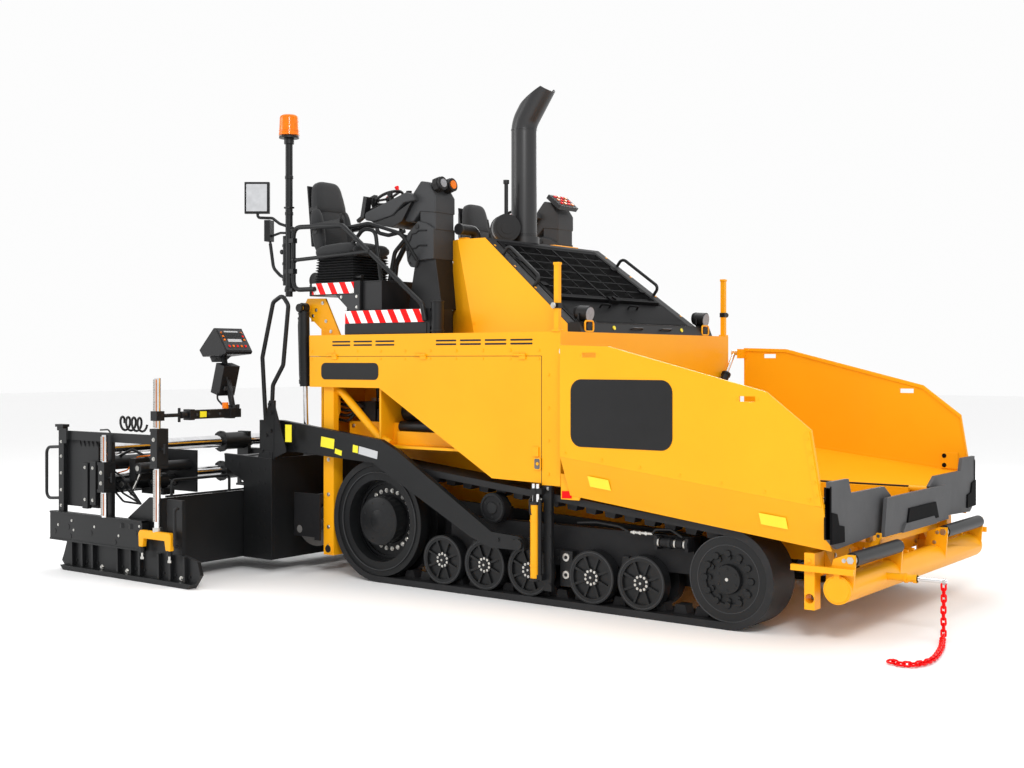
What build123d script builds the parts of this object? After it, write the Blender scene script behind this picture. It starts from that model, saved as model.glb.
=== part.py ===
"""Tracked asphalt paver with an extending screed, in millimetres.

The machine stands on z = 0 and drives towards +X. Its right side is -Y. Shapes are drawn on the
right side and mirrored to the left. All x values are measured from the middle of the tractor;
save() moves the finished pieces so that the origin lies under the middle of the whole machine.
"""
import math
import os

from build123d import *

os.makedirs("parts", exist_ok=True)

# Clearances
SEAT = 0.3          # between a wheel, sleeve or rod and what carries it
GAP = 6.0           # between plates that move past each other
TRACK_GAP = 8       # between a track's rear end and the leg behind it
AUGER_GAP = 14      # between the auger and the screed's front wall
PANEL_GAP = 37      # between a track's outer edge and the side panels' face
ARM_GAP = 15        # between the side panels' face and the tow arm

# Overall reach
ARM_TIP_X = 3930     # front end of the guide arm
REAR_HOOP_X = -3715  # rear end of the grab hoops behind the end gates
MID_X = (ARM_TIP_X + REAR_HOOP_X) / 2

# Tracks
DRIVE_X, DRIVE_R = -645, 512
IDLER_X, IDLER_R = 2612, 348
BELT = 50
TRACK_OUT, TRACK_IN = 1303, 973
LUG_COUNT, LUG_HEIGHT, LUG_BASE, LUG_TIP = 52, 62, 108, 76
LUG_OUT, LUG_IN = 1192, 1084
WHEEL_OUT = (1200, 1290)
WHEEL_IN = (986, 1076)
BOGIE_R = 198
BOGIE_GROUPS = ((45, 475), (905,), (1480, 1910))
CARRIER_X, CARRIER_R = 552, 120
DRIVE_AXLE_R, IDLER_AXLE_R = 70, 50
FRAME_PLATE_Y = 925
BEAM_LOW, BEAM_TOP = 334, 600
FRAME_TIES_X = (160, 1190, 2180)
TENSION_Y, TENSION_Z = 1240, 552
SLOPE = 2 * math.atan((DRIVE_R - IDLER_R) / (IDLER_X - DRIVE_X))

# Rear legs, which also end the main frame
LEG_FRONT = DRIVE_X - DRIVE_R - TRACK_GAP
LEG_LEN, LEG_T = 120, 110
LEG_OUT = TRACK_OUT - 3
LEG_REAR = LEG_FRONT - LEG_LEN

# Main frame and conveyor
FRAME_Y, FRAME_T = 560, 40
FRAME_REAR, FRAME_FRONT = LEG_REAR, 3200
FRAME_CROSS = ((-645, 150), (1000, 130), (2300, 100))   # middle x, half width
PLATE_LIP_Z = 870
FLOOR_Z, FLOOR_T = 600, 20
SHELF_Z, SHELF_T = 2 * DRIVE_R + 106, 20
TUNNEL_TOP = SHELF_Z - 20
SLAT_PITCH, SLAT_W, SLAT_H = 255, 50, 45

# Body
DECK_Z, DECK_T = 2075, 25
BODY_Y = TRACK_OUT + PANEL_GAP
BODY_REAR, BODY_FRONT = LEG_REAR - 134, 1240
SEAM_Z = 1893
PANEL_T = 25
MOUTH_LOW = 914
DOOR_FRONT = 1063
DOOR_OPEN_Z = 1627
DOOR_HINGE_Y, DOOR_HINGE_Z, DOOR_PIN_R = BODY_Y + 10, 1900, 4
KNUCKLE_X, KNUCKLE_LEN, KNUCKLE_R = (-1200, -200, 800), 60, 9
WALL_Y, RIB_X = 640, (-650, 250)

# Hood and exhaust
HOOD_REAR, HOOD_SIDE_X, HOOD_FRONT = -246, 178, 1173
HOOD_TOP_X, HOOD_TOP_Z = 142, 2875
HOOD_Y, HOOD_TOP_Y, HOOD_REAR_Y = 1046, 855, 800
HOOD_T = 20
GRILLE_TILT = math.atan2(HOOD_TOP_Z - DECK_Z - 4, HOOD_FRONT - HOOD_TOP_X)
GRILLE_LEN = math.hypot(HOOD_TOP_Z - DECK_Z - 4, HOOD_FRONT - HOOD_TOP_X)
GRILLE_TOP_Y, GRILLE_LOW_Y = 740, 900
GRILLE_BARS, GRILLE_PITCH_Y = 9, 240
LAMP_Y, LAMP_R = 930, 55
RAIL_LOW, RAIL_TOP = (700, 925), (250, 868)   # distance down the slope, y
STACK_X, STACK_Y, STACK_R, STACK_TOP = 25, -150, 112, 3930

# Hopper wings
WING_REAR, WING_FRONT = 1335, 3392
WING_Y, WING_T = BODY_Y + 145, 20
WING_HINGE_Y, WING_HINGE_Z, WING_HINGE_R = 640, 860, 26
WING_EAR_X, EAR_T, EAR_R = (1370, 2360, 3345), 30, 46
FOLD_REAR_Z, FOLD_FRONT_Z = 1150, 910
SKIRT_DROP, SKIRT_IN = 297, 135
WING_TOP = ((1752, 1958), (2993, 1649), (3310, 1407))
HAND_SLOTS = ((1590, 1896), (2854, 1600))   # x, z

# Front end
SIDE_APRON_X, CENTRE_APRON_X, APRON_T = 3400, 3455, 26
PUSH_X, PUSH_Z, PUSH_R, PUSH_Y = 3428, 365, 95, BODY_Y + 5
LEG_LOW, BEAM_Z = 216, (430, 590)
GUIDE_Y, GUIDE_Z, GUIDE_R, GUIDE_ROD_R = -700, 383, 26, 15
GUIDE_SLEEVE_X = 3727
ROLLER_X, ROLLER_Z, ROLLER_R = 3506, 562, 48
ROLLER_OUT, ROLLER_IN = 1290, 480
SPINDLE_R = 20
APRON_HINGE_X, APRON_HINGE_Z, APRON_HALF, APRON_PIN_R = 3446, 648, 666, 12
APRON_EAR_T = 20

# Tow arms and screed
TOW_X, TOW_Z, TOW_PIN_R = 897, 458, 30
TOW_BAR_X = 1090
ARM_IN = BODY_Y + ARM_GAP
ARM_OUT = ARM_IN + 50
SCREED_Y = ARM_OUT + 95
AUGER_X, AUGER_Z, AUGER_R, AUGER_OUT = LEG_REAR - 250, 383, 178, BODY_Y - 15
AUGER_SHAFT_R, AUGER_CORE_R = 34, 52
SCREED_FRONT = AUGER_X - AUGER_R - AUGER_GAP
SCREED_REAR = SCREED_FRONT - 358
SCREED_LOW, SCREED_TOP = 110, 1000
HEAD_LOW, HEAD_TOP = 1058, 1331
LIFT_X, LIFT_Z = -1575, 2318
EYE_X, EYE_Z = -1546, 1259
LIFT_Y, LIFT_R, LIFT_ROD_R = ARM_IN - 100, 48, 22
BRACKET_Y, BRACKET_T = LIFT_Y - 78, 18
CHEEK_Y, CHEEK_T = LIFT_Y - 110, 15
LIFT_BARREL, LIFT_PIN_R = 690, 24
EYE_BORE_R = 32
WING_RAM_X, WING_RAM_R, WING_RAM_ROD_R = 1286, 36, 16
RAM_FOOT = (880, 1340)
RAM_EYE = (WING_Y - 115, 1925)
RAM_STUB_R = 17
WING_RAM_BARREL = 520

# Screed extensions
GATE_Y, GATE_T = 2430, 34
EXT_FRONT = SCREED_REAR - 17
EXT_REAR = EXT_FRONT - 638
EXT_LEN, EXT_TOP = 1440, 700
TUBE_X, TUBE_STAGGER = EXT_FRONT - 1108, 170
TUBE_TABLE = ((1060, 62), (770, 58))   # height, radius
TUBE_LEN, SLEEVE_OUT, SLEEVE_LEN = 2400, 800, 330
WALK_REAR, WALK_FRONT = TUBE_X - 150, TUBE_X + 430
WALK_Z, WALK_T, WALK_BEAM_Y = 620, 22, 430
JACK_TABLE = ((-2041, 430, 1710), (-2752, 505, 1215))   # x, low end, high end
JACK_SLEEVES = ((960, 1290), (720, 980))    # low end, high end
JACK_OUT, JACK_R = 44, 27
GATE_TOP = 255
PANEL_ARM_Z, PANEL_Y, HOOP_R = 1396, 1640, 14

# Operator stations
STATION_Y = BODY_Y - 50
PLATFORM_X = (-1037, -87)
PLATFORM_TOP = 2282
SEAT_MID_Y, SEAT_HALF = STATION_Y - 235, 230
SEAT_BOX_LOW, SEAT_BOX_TOP = 2420, 2535
SEAT_BOX_X = -863
FOLD_COUNT, FOLD_PITCH = 4, 52
SEAT_REAR, SEAT_FRONT, BOLSTER_W = -1440, -930, 90
SEAT_Z = SEAT_BOX_TOP + FOLD_COUNT * FOLD_PITCH + 2
TUBE_R = 21
RAIL_Y = STATION_Y + TUBE_R + SEAT
CONSOLE_Y, CONSOLE_HALF, CONSOLE_LOW, CONSOLE_TOP = 895, 135, 2700, 3010
WHEEL_AXIS = ((-830, -CONSOLE_Y, 3152), (-885, -CONSOLE_Y, 3275))
STEER_R, STEER_RIM_R = 120, 13
POLE_X, POLE_R, POLE_TOP = -1702, 32, 3832
BEACON_R, BEACON_H = 74, 195
MIRROR_X = -1965

# Marker chain: x, y, z of its path from the guide rod down to the floor
CHAIN_R = 8
CHAIN_PATH = (
    (3903, -700, 367.6), (3906, -702, 270), (3902, -704, 170), (3907, -710, 80), (3917, -745, 14),
    (3945, -850, 8), (3990, -985, 8), (4024, -1120, 8), (4052, -1250, 8), (4076, -1390, 8),
    (4076, -1530, 8), (4030, -1640, 8), (3945, -1655, 8), (3865, -1605, 8),
)


def box(x0, x1, y0, y1, z0, z1):
    """Block between two opposite corners."""
    centre = Pos((x0 + x1) / 2, (y0 + y1) / 2, (z0 + z1) / 2)
    return centre * Box(abs(x1 - x0), abs(y1 - y0), abs(z1 - z0))


def outline(points):
    """Flat face inside a closed run of straight edges."""
    return make_face(Polyline(*points, close=True))


def side_plate(points, y0, y1):
    """Plate with (x, z) corners between two y planes."""
    return Pos(0, y0, 0) * extrude(Plane.XZ * outline(points), amount=y1 - y0, dir=(0, 1, 0))


def cross_plate(points, x0, x1):
    """Plate with (y, z) corners between two x planes."""
    return Pos(x0, 0, 0) * extrude(Plane.YZ * outline(points), amount=x1 - x0, dir=(1, 0, 0))


def flat_plate(points, z0, z1):
    """Plate with (x, y) corners between two z planes."""
    return Pos(0, 0, z0) * extrude(outline(points), amount=z1 - z0, dir=(0, 0, 1))


def rod(start, end, radius):
    """Round bar between two points."""
    axis = Vector(end) - Vector(start)
    length = axis.length
    return Plane(origin=start, z_dir=axis) * (Pos(0, 0, length / 2) * Cylinder(radius, length))


def ring(x, z, y0, y1, outer, inner=0.0):
    """Disc or ring about an axle along Y, between two y planes."""
    disc = rod((x, y0, z), (x, y1, z), outer)
    return disc - rod((x, y0 - 1, z), (x, y1 + 1, z), inner) if inner else disc


def bent_tube(points, radius, bend):
    """Round tube along straight runs joined by tangent arcs."""
    path = FilletPolyline(*points, radius=bend)
    start = Vector(points[0])
    section = Plane(origin=start, z_dir=Vector(points[1]) - start) * Circle(radius)
    return sweep(section, path=path)


def left_of(shape):
    """The same piece on the other side of the machine."""
    return mirror(shape, about=Plane.XZ)


def both(shape):
    """A piece and its mirror image as one node."""
    return shape + left_of(shape)


def fuse(*shapes):
    """All the given shapes as one."""
    return shapes[0].fuse(*shapes[1:]) if len(shapes) > 1 else shapes[0]


def save(node, shape):
    """Write a finished node, moved to the origin under the machine's middle."""
    solids = (Pos(-MID_X, 0, 0) * shape).solids()
    export_step(Compound(children=list(solids)) if len(solids) > 1 else solids[0], f"parts/{node}.step")


# ---------------------------------------------------------------- tracks

def loop_face(inset):
    """Area inside the track's path, moved inwards by inset."""
    rear, front = DRIVE_R - inset, IDLER_R - inset

    def on_drive(angle):
        return DRIVE_X + rear * math.cos(angle), DRIVE_R + rear * math.sin(angle)

    def on_idler(angle):
        return IDLER_X + front * math.cos(angle), IDLER_R + front * math.sin(angle)

    top = math.pi / 2 - SLOPE
    edges = (
        Line(on_drive(-math.pi / 2), on_idler(-math.pi / 2))
        + ThreePointArc(on_idler(-math.pi / 2), on_idler(-SLOPE / 2), on_idler(top))
        + Line(on_idler(top), on_drive(top))
        + ThreePointArc(on_drive(top), on_drive(math.pi - SLOPE / 2), on_drive(-math.pi / 2))
    )
    return make_face(edges)


def loop_point(distance):
    """Point on the belt's inner face and the direction into the loop, by distance along it."""
    rear, front = DRIVE_R - BELT, IDLER_R - BELT
    low_run = IDLER_X - DRIVE_X
    front_arc = front * (math.pi - SLOPE)
    top_run = math.hypot(low_run, DRIVE_R - IDLER_R) * math.cos(SLOPE / 2)
    rear_arc = rear * (math.pi + SLOPE)
    distance %= low_run + front_arc + top_run + rear_arc
    if distance < low_run:
        return DRIVE_X + distance, BELT, math.pi / 2
    distance -= low_run
    if distance < front_arc:
        angle = -math.pi / 2 + distance / front
        return IDLER_X + front * math.cos(angle), IDLER_R + front * math.sin(angle), angle + math.pi
    distance -= front_arc
    top = math.pi / 2 - SLOPE
    if distance < top_run:
        x = IDLER_X + front * math.cos(top) - distance * math.cos(SLOPE)
        z = IDLER_R + front * math.sin(top) + distance * math.sin(SLOPE)
        return x, z, top + math.pi
    angle = top + (distance - top_run) / rear
    return DRIVE_X + rear * math.cos(angle), DRIVE_R + rear * math.sin(angle), angle + math.pi


def track():
    """One rubber belt loop with its drive lugs, on the right side."""
    band = loop_face(0) - loop_face(BELT)
    belt = Pos(0, -TRACK_OUT, 0) * extrude(Plane.XZ * band, amount=TRACK_OUT - TRACK_IN, dir=(0, 1, 0))
    low_run = IDLER_X - DRIVE_X
    total = 2 * low_run + math.pi * (DRIVE_R + IDLER_R - 2 * BELT)
    lugs = []
    for index in range(LUG_COUNT):
        x, z, angle = loop_point((index + 0.5) * total / LUG_COUNT)
        lug = side_plate(
            ((-4, -LUG_BASE / 2), (0, -LUG_BASE / 2), (LUG_HEIGHT, -LUG_TIP / 2),
             (LUG_HEIGHT, LUG_TIP / 2), (0, LUG_BASE / 2), (-4, LUG_BASE / 2)), -LUG_OUT, -LUG_IN)
        lugs.append(Pos(x, 0, z) * Rot(0, -math.degrees(angle), 0) * lug)
    return fuse(belt, *lugs)


def drive_wheel():
    """Rear wheel: twin rims on a drum, a dished web and a large hub cap."""
    rim = DRIVE_R - BELT - SEAT
    drum = DRIVE_R - BELT - LUG_HEIGHT - 2 * GAP
    web_y = -(WHEEL_OUT[0] - 40)
    parts = [ring(DRIVE_X, DRIVE_R, -WHEEL_OUT[1], -WHEEL_IN[0], drum, drum - 45)]
    for near, far in (WHEEL_OUT, WHEEL_IN):
        parts.append(ring(DRIVE_X, DRIVE_R, -far, -near, rim, drum - 45))
    parts.append(ring(DRIVE_X, DRIVE_R, web_y, web_y + 40, drum - 40))
    parts.append(ring(DRIVE_X, DRIVE_R, -WHEEL_OUT[1] - 8, web_y + 40, 205))
    bore = ring(DRIVE_X, DRIVE_R, web_y - 40, -WHEEL_IN[0], DRIVE_AXLE_R + SEAT)
    return fuse(*parts) - bore


def idler_wheel():
    """Front wheel: twin rims on a drum with a bolted face plate."""
    rim = IDLER_R - BELT - SEAT
    drum = IDLER_R - BELT - LUG_HEIGHT - 2 * GAP
    parts = [ring(IDLER_X, IDLER_R, -WHEEL_OUT[1], -WHEEL_IN[0], drum, drum - 50)]
    for near, far in (WHEEL_OUT, WHEEL_IN):
        parts.append(ring(IDLER_X, IDLER_R, -far, -near, rim, drum - 50))
    parts.append(ring(IDLER_X, IDLER_R, -WHEEL_OUT[1] + 14, -WHEEL_OUT[0], drum - 40))
    parts.append(ring(IDLER_X, IDLER_R, -WHEEL_OUT[1] - 4, -WHEEL_OUT[0] + 60, 98))
    for step in range(12):
        angle = math.tau * step / 12
        x, z = IDLER_X + 150 * math.cos(angle), IDLER_R + 150 * math.sin(angle)
        parts.append(ring(x, z, -WHEEL_OUT[1], -WHEEL_OUT[0], 20))
    bore = ring(IDLER_X, IDLER_R, -WHEEL_OUT[0] - 20, -WHEEL_IN[0] + 10, IDLER_AXLE_R + SEAT)
    return fuse(*parts) - bore


def bogie_wheel(x):
    """Twin spoked bogie wheels on one axle."""
    z = BELT + BOGIE_R
    parts = [ring(x, z, -WHEEL_OUT[1] + 12, -WHEEL_IN[0], 34)]
    for near, far in (WHEEL_OUT, WHEEL_IN):
        parts.append(ring(x, z, -far, -near, BOGIE_R - SEAT, BOGIE_R - 40))
        parts.append(ring(x, z, -far + 22, -near, BOGIE_R - 36))
        parts.append(ring(x, z, -far, -near, 66))
    for step in range(8):
        spoke = box(60, BOGIE_R - 38, -WHEEL_OUT[1] + 4, -WHEEL_OUT[1] + 30, -9, 9)
        parts.append(Pos(x, 0, z) * Rot(0, 360 * step / 8 + 22.5, 0) * spoke)
    return parts


def bogies():
    """Bogie wheels with the rockers that carry them."""
    groups = []
    mid = (LUG_OUT + LUG_IN) / 2
    for group in BOGIE_GROUPS:
        centre = sum(group) / len(group)
        parts = [box(min(group) - 45, max(group) + 45, -mid - 38, -mid + 38, 212, 284)]
        parts.append(box(centre - 60, centre + 60, -mid - 38, -mid + 38, 240, BEAM_LOW))
        for x in group:
            parts += bogie_wheel(x)
        groups.append(fuse(*parts))
    return Compound(children=[solid for group in groups for solid in group.solids()])


def track_frame():
    """Inboard side plate, box beam, axles, carrier roller and tensioner."""
    inner, outer = -(FRAME_PLATE_Y + 40), -FRAME_PLATE_Y
    plate = side_plate(
        ((DRIVE_X - 170, 400), (DRIVE_X - 120, 640), (-200, 700), (2200, 590), (IDLER_X + 120, 440),
         (IDLER_X + 120, 270), (2200, 200), (-100, 240), (DRIVE_X + 60, 360)), inner, outer)
    parts = [plate]
    beam_out, beam_in = -LUG_OUT + 2, -LUG_IN - 2
    parts.append(box(60, 2290, beam_out, beam_in, BEAM_LOW, BEAM_TOP))
    for x in FRAME_TIES_X:
        parts.append(rod((x, beam_in - 10, 530), (x, outer - 10, 530), 45))
    parts.append(ring(DRIVE_X, DRIVE_R, -WHEEL_OUT[0], inner + 10, DRIVE_AXLE_R))
    parts.append(ring(IDLER_X, IDLER_R, -WHEEL_OUT[0] - 20, inner + 10, IDLER_AXLE_R))
    parts.append(box(CARRIER_X - 60, CARRIER_X + 60, beam_out, beam_in, BEAM_TOP - 5, 700))
    parts.append(ring(CARRIER_X, 700, -WHEEL_OUT[1], beam_in, 40))
    parts.append(ring(CARRIER_X, 700, -WHEEL_OUT[1] + 4, -WHEEL_OUT[0] - 4, CARRIER_R))
    y, z = -TENSION_Y, TENSION_Z
    for x in (2010, 2262):
        parts.append(box(x, x + 26, y - 32, beam_out + 5, z - 52, z + 44))
    parts.append(rod((2000, y, z), (2290, y, z), 22))
    parts.append(rod((2060, y, z), (2235, y, z), 34))
    return fuse(*parts)


# ---------------------------------------------------------------- main frame

def main_frame():
    """Side plates, conveyor floor, tunnel roof, cross beams and the front beam."""
    plate = side_plate(
        ((FRAME_REAR, 480), (FRAME_REAR, SHELF_Z), (BODY_FRONT - PANEL_T, SHELF_Z),
         (BODY_FRONT - PANEL_T, PLATE_LIP_Z), (FRAME_FRONT, PLATE_LIP_Z), (FRAME_FRONT, 420),
         (2200, 420)), -FRAME_Y - FRAME_T, -FRAME_Y)
    parts = [both(plate)]
    parts.append(box(FRAME_REAR, FRAME_FRONT, -FRAME_Y, FRAME_Y, FLOOR_Z - FLOOR_T, FLOOR_Z))
    parts.append(box(FRAME_REAR, BODY_FRONT - PANEL_T, -FRAME_Y, FRAME_Y, TUNNEL_TOP, SHELF_Z))
    parts.append(box(FRAME_REAR + 60, FRAME_FRONT, -26, 26, FLOOR_Z, FLOOR_Z + 90))
    for x in WING_EAR_X[:-1]:
        parts.append(both(wing_ear(x)))
    for x, half in FRAME_CROSS:
        beam = box(x - half, x + half, -FRAME_PLATE_Y, -FRAME_Y - FRAME_T, 430, 570)
        parts.append(both(beam))
    return fuse(*parts)


def wing_ear(x):
    """Lug on a frame plate that carries a wing's hinge bar."""
    disc = rod((x, -WING_HINGE_Y, WING_HINGE_Z), (x + EAR_T, -WING_HINGE_Y, WING_HINGE_Z), EAR_R)
    leg = box(x, x + EAR_T, -WING_HINGE_Y - 20, -FRAME_Y - FRAME_T, 790, WING_HINGE_Z)
    hole = rod((x - 1, -WING_HINGE_Y, WING_HINGE_Z), (x + EAR_T + 1, -WING_HINGE_Y, WING_HINGE_Z),
               WING_HINGE_R + SEAT)
    return fuse(disc, leg) - hole


def front_beam():
    """Yellow front beam with its end legs, the sill under the aprons and the push beam."""
    leg_front = FRAME_FRONT + 72
    low, top = BEAM_Z
    parts = [box(FRAME_FRONT, leg_front, -PUSH_Y, PUSH_Y, low, top)]
    parts.append(both(box(FRAME_FRONT, leg_front, -PUSH_Y, -PUSH_Y + 95, LEG_LOW, top)))
    parts.append(both(box(FRAME_FRONT, leg_front, -FRAME_Y - FRAME_T, -FRAME_Y, top, 800)))
    parts.append(box(leg_front, WING_FRONT, -690, 690, FLOOR_Z - 2 * FLOOR_T, FLOOR_Z))
    parts.append(both(wing_ear(WING_EAR_X[-1])))
    parts.append(both(box(WING_EAR_X[-1], WING_EAR_X[-1] + EAR_T, -WING_HINGE_Y - 20,
                          -FRAME_Y - FRAME_T, top, 800)))
    parts.append(rod((PUSH_X, -PUSH_Y, PUSH_Z), (PUSH_X, PUSH_Y, PUSH_Z), PUSH_R))
    for y in (1140, 560, 60):
        parts.append(both(box(leg_front - 5, PUSH_X, -y - 12, -y + 12, 300, 480)))
    for y in (ROLLER_OUT + 14, ROLLER_IN - 14):
        ear = side_plate(
            ((PUSH_X - 90, PUSH_Z), (PUSH_X - 40, 560), (ROLLER_X - 30, ROLLER_Z + 34),
             (ROLLER_X + 30, ROLLER_Z + 34), (ROLLER_X + 32, ROLLER_Z - 30), (PUSH_X + 96, PUSH_Z)),
            -y - 10, -y + 10)
        ear = ear - ring(ROLLER_X, ROLLER_Z, -y - 11, -y + 11, SPINDLE_R + SEAT)
        parts.append(both(ear))
    parts.append(both(box(FRAME_FRONT - 85, ROLLER_X + 44, -PUSH_Y - 30, -PUSH_Y, 472, 512)))
    parts.append(both(box(PUSH_X - 20, PUSH_X + 20, -PUSH_Y - 10, -PUSH_Y + 20, 440, 500)))
    parts.append(rod((PUSH_X + 40, GUIDE_Y, GUIDE_Z), (GUIDE_SLEEVE_X, GUIDE_Y, GUIDE_Z), GUIDE_R))
    sill, hinge_x, hinge_z = WING_FRONT, APRON_HINGE_X, APRON_HINGE_Z
    ear = side_plate(
        ((sill, FLOOR_Z - 2 * FLOOR_T), (sill, FLOOR_Z), (hinge_x - 18, hinge_z - 28),
         (hinge_x - 16, hinge_z + 20), (hinge_x + 18, hinge_z + 20), (hinge_x + 20, hinge_z - 8),
         (hinge_x + 4, FLOOR_Z), (hinge_x - 6, FLOOR_Z - 2 * FLOOR_T)),
        -APRON_HALF - APRON_EAR_T, -APRON_HALF)
    parts.append(both(ear - ring(hinge_x, hinge_z, -APRON_HALF - APRON_EAR_T - 1, -APRON_HALF + 1,
                                 APRON_PIN_R + SEAT)))
    holes = both(ring(FRAME_FRONT + 36, 290, -PUSH_Y - 40, -PUSH_Y + 140, EYE_BORE_R))
    return fuse(*parts) - holes


def guide_rod():
    """Chrome rod of the guide arm."""
    return rod((GUIDE_SLEEVE_X, GUIDE_Y, GUIDE_Z), (ARM_TIP_X, GUIDE_Y, GUIDE_Z), GUIDE_ROD_R)


def conveyor():
    """Two slat conveyor lanes on the hopper floor."""
    rear, front = FRAME_REAR + 70, FRAME_FRONT - 20
    parts = [box(rear, front, -75, -34, FLOOR_Z, FLOOR_Z + SLAT_H)]
    parts.append(box(rear, front, -545, -505, FLOOR_Z, FLOOR_Z + SLAT_H))
    count = int((front - rear) // SLAT_PITCH)
    for index in range(count):
        x = rear + SLAT_PITCH * (index + 0.5)
        parts.append(box(x, x + SLAT_W, -505, -75, FLOOR_Z, FLOOR_Z + SLAT_H))
    return both(fuse(*parts))


# ---------------------------------------------------------------- body

def bulkhead():
    """Wall behind the hopper with the tunnel mouth, side posts and the top shelf."""
    inner = BODY_FRONT - PANEL_T
    parts = [box(inner, BODY_FRONT, -BODY_Y, BODY_Y, MOUTH_LOW, DECK_Z)]
    parts.append(both(box(DOOR_FRONT + GAP, inner, -BODY_Y, -BODY_Y + PANEL_T, MOUTH_LOW, SEAM_Z)))
    parts.append(side_plate(
        ((BODY_FRONT, TUNNEL_TOP + 190), (WING_REAR - GAP - 1, TUNNEL_TOP),
         (WING_REAR - 25, TUNNEL_TOP), (BODY_FRONT, TUNNEL_TOP + 160)), -STATION_Y, STATION_Y))
    mouth = box(inner - 1, BODY_FRONT + 1, -FRAME_Y, FRAME_Y, MOUTH_LOW - 1, TUNNEL_TOP)
    stub = both(rod((BODY_FRONT - 5, -RAM_FOOT[0], RAM_FOOT[1]),
                    (WING_RAM_X + 30, -RAM_FOOT[0], RAM_FOOT[1]), RAM_STUB_R))
    return fuse(*parts, stub) - mouth


def deck():
    """Top deck with its upper side bands and rear wall."""
    front = BODY_FRONT - PANEL_T
    parts = [box(BODY_REAR, front, -BODY_Y, BODY_Y, DECK_Z - DECK_T, DECK_Z)]
    parts.append(both(box(BODY_REAR, front, -BODY_Y, -BODY_Y + PANEL_T, SEAM_Z, DECK_Z)))
    wall_y = LIFT_Y - 60
    parts.append(box(BODY_REAR, BODY_REAR + 20, -wall_y, wall_y, SHELF_Z + SHELF_T, DECK_Z))
    for x in KNUCKLE_X:
        knuckle = ring_along(x, x + KNUCKLE_LEN, KNUCKLE_R)
        web = box(x, x + KNUCKLE_LEN, -DOOR_HINGE_Y, -BODY_Y, SEAM_Z + 2, SEAM_Z + 20)
        pin = ring_along(x, x + 2 * KNUCKLE_LEN, DOOR_PIN_R)
        parts.append(both(fuse(knuckle, web, pin)))
    return fuse(*parts)


def inner_body():
    """Shelf over the tracks and the walls behind the side doors."""
    rear, front = BODY_REAR + 20, BODY_FRONT - PANEL_T
    floor, roof = SHELF_Z + SHELF_T, DECK_Z - DECK_T
    shelf = box(rear, front, -LEG_OUT, LEG_OUT, SHELF_Z, floor)
    walls = both(box(rear, front, -WALL_Y - 20, -WALL_Y, floor, roof))
    ribs = []
    for x in RIB_X:
        ribs.append(both(box(x, x + 20, -LEG_OUT + 20, -WALL_Y - 20, floor, roof)))
    return fuse(shelf, walls, *ribs)


def ring_along(x0, x1, radius):
    """Round bar along a side door's hinge line."""
    return rod((x0, -DOOR_HINGE_Y, DOOR_HINGE_Z), (x1, -DOOR_HINGE_Y, DOOR_HINGE_Z), radius)


def side_door():
    """Large side panel that swings up on its top edge."""
    top = SEAM_Z - 4
    panel = side_plate(
        ((BODY_REAR + 4, top), (DOOR_FRONT, top), (DOOR_FRONT, 928), (590, 940), (-600, DOOR_OPEN_Z),
         (BODY_REAR + 4, DOOR_OPEN_Z)), -BODY_Y, -BODY_Y + PANEL_T)
    latch = box(DOOR_FRONT - 80, DOOR_FRONT - 20, -BODY_Y - 12, -BODY_Y, 1130, 1200)
    parts = [panel, latch]
    for x in KNUCKLE_X:
        near, far = x + KNUCKLE_LEN + SEAT, x + 2 * KNUCKLE_LEN
        web = box(near, far, -DOOR_HINGE_Y - 2, -BODY_Y - 2, top - 22, DOOR_HINGE_Z)
        pad = box(near, far, -BODY_Y - 3, -BODY_Y, top - 22, top - 1)
        parts.append(fuse(ring_along(near, far, KNUCKLE_R), web, pad) - ring_along(x, far + 1, DOOR_PIN_R + SEAT))
    return fuse(*parts)


def hood_block(inset):
    """Closed form of the hood, moved inwards by inset."""
    side = side_plate(
        ((HOOD_REAR + inset, DECK_Z), (HOOD_REAR + inset, HOOD_TOP_Z - inset),
         (HOOD_TOP_X, HOOD_TOP_Z - inset), (HOOD_FRONT - inset, DECK_Z + 4 + inset / 2),
         (HOOD_FRONT - inset, DECK_Z)), -HOOD_Y, HOOD_Y)
    low, top = HOOD_Y - inset, HOOD_TOP_Y - inset
    end = cross_plate(((-low, DECK_Z), (-top, HOOD_TOP_Z), (top, HOOD_TOP_Z), (low, DECK_Z)),
                      HOOD_REAR, HOOD_FRONT)
    rear_y = HOOD_REAR_Y - inset
    plan = flat_plate(
        ((HOOD_REAR, -rear_y), (HOOD_SIDE_X, -low), (HOOD_FRONT, -low), (HOOD_FRONT, low),
         (HOOD_SIDE_X, low), (HOOD_REAR, rear_y)), DECK_Z, HOOD_TOP_Z)
    return side & end & plan


def on_slope(shape):
    """Place a piece drawn flat: its x runs down the hood's slope and its z stands out of it."""
    return Pos(HOOD_TOP_X, 0, HOOD_TOP_Z) * Rot(0, math.degrees(GRILLE_TILT), 0) * shape


def grille_opening(margin):
    """Tapered opening in the sloped face."""
    near, far = 40 - margin, GRILLE_LEN - 130 + margin
    top, low = GRILLE_TOP_Y + margin, GRILLE_LOW_Y + margin
    return flat_plate(((near, -top), (near, top), (far, low), (far, -low)), -60, 60)


def hood():
    """Sheet hood with the grille's opening in its sloped face."""
    shell = hood_block(0) - hood_block(HOOD_T)
    return shell - on_slope(grille_opening(0))


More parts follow.
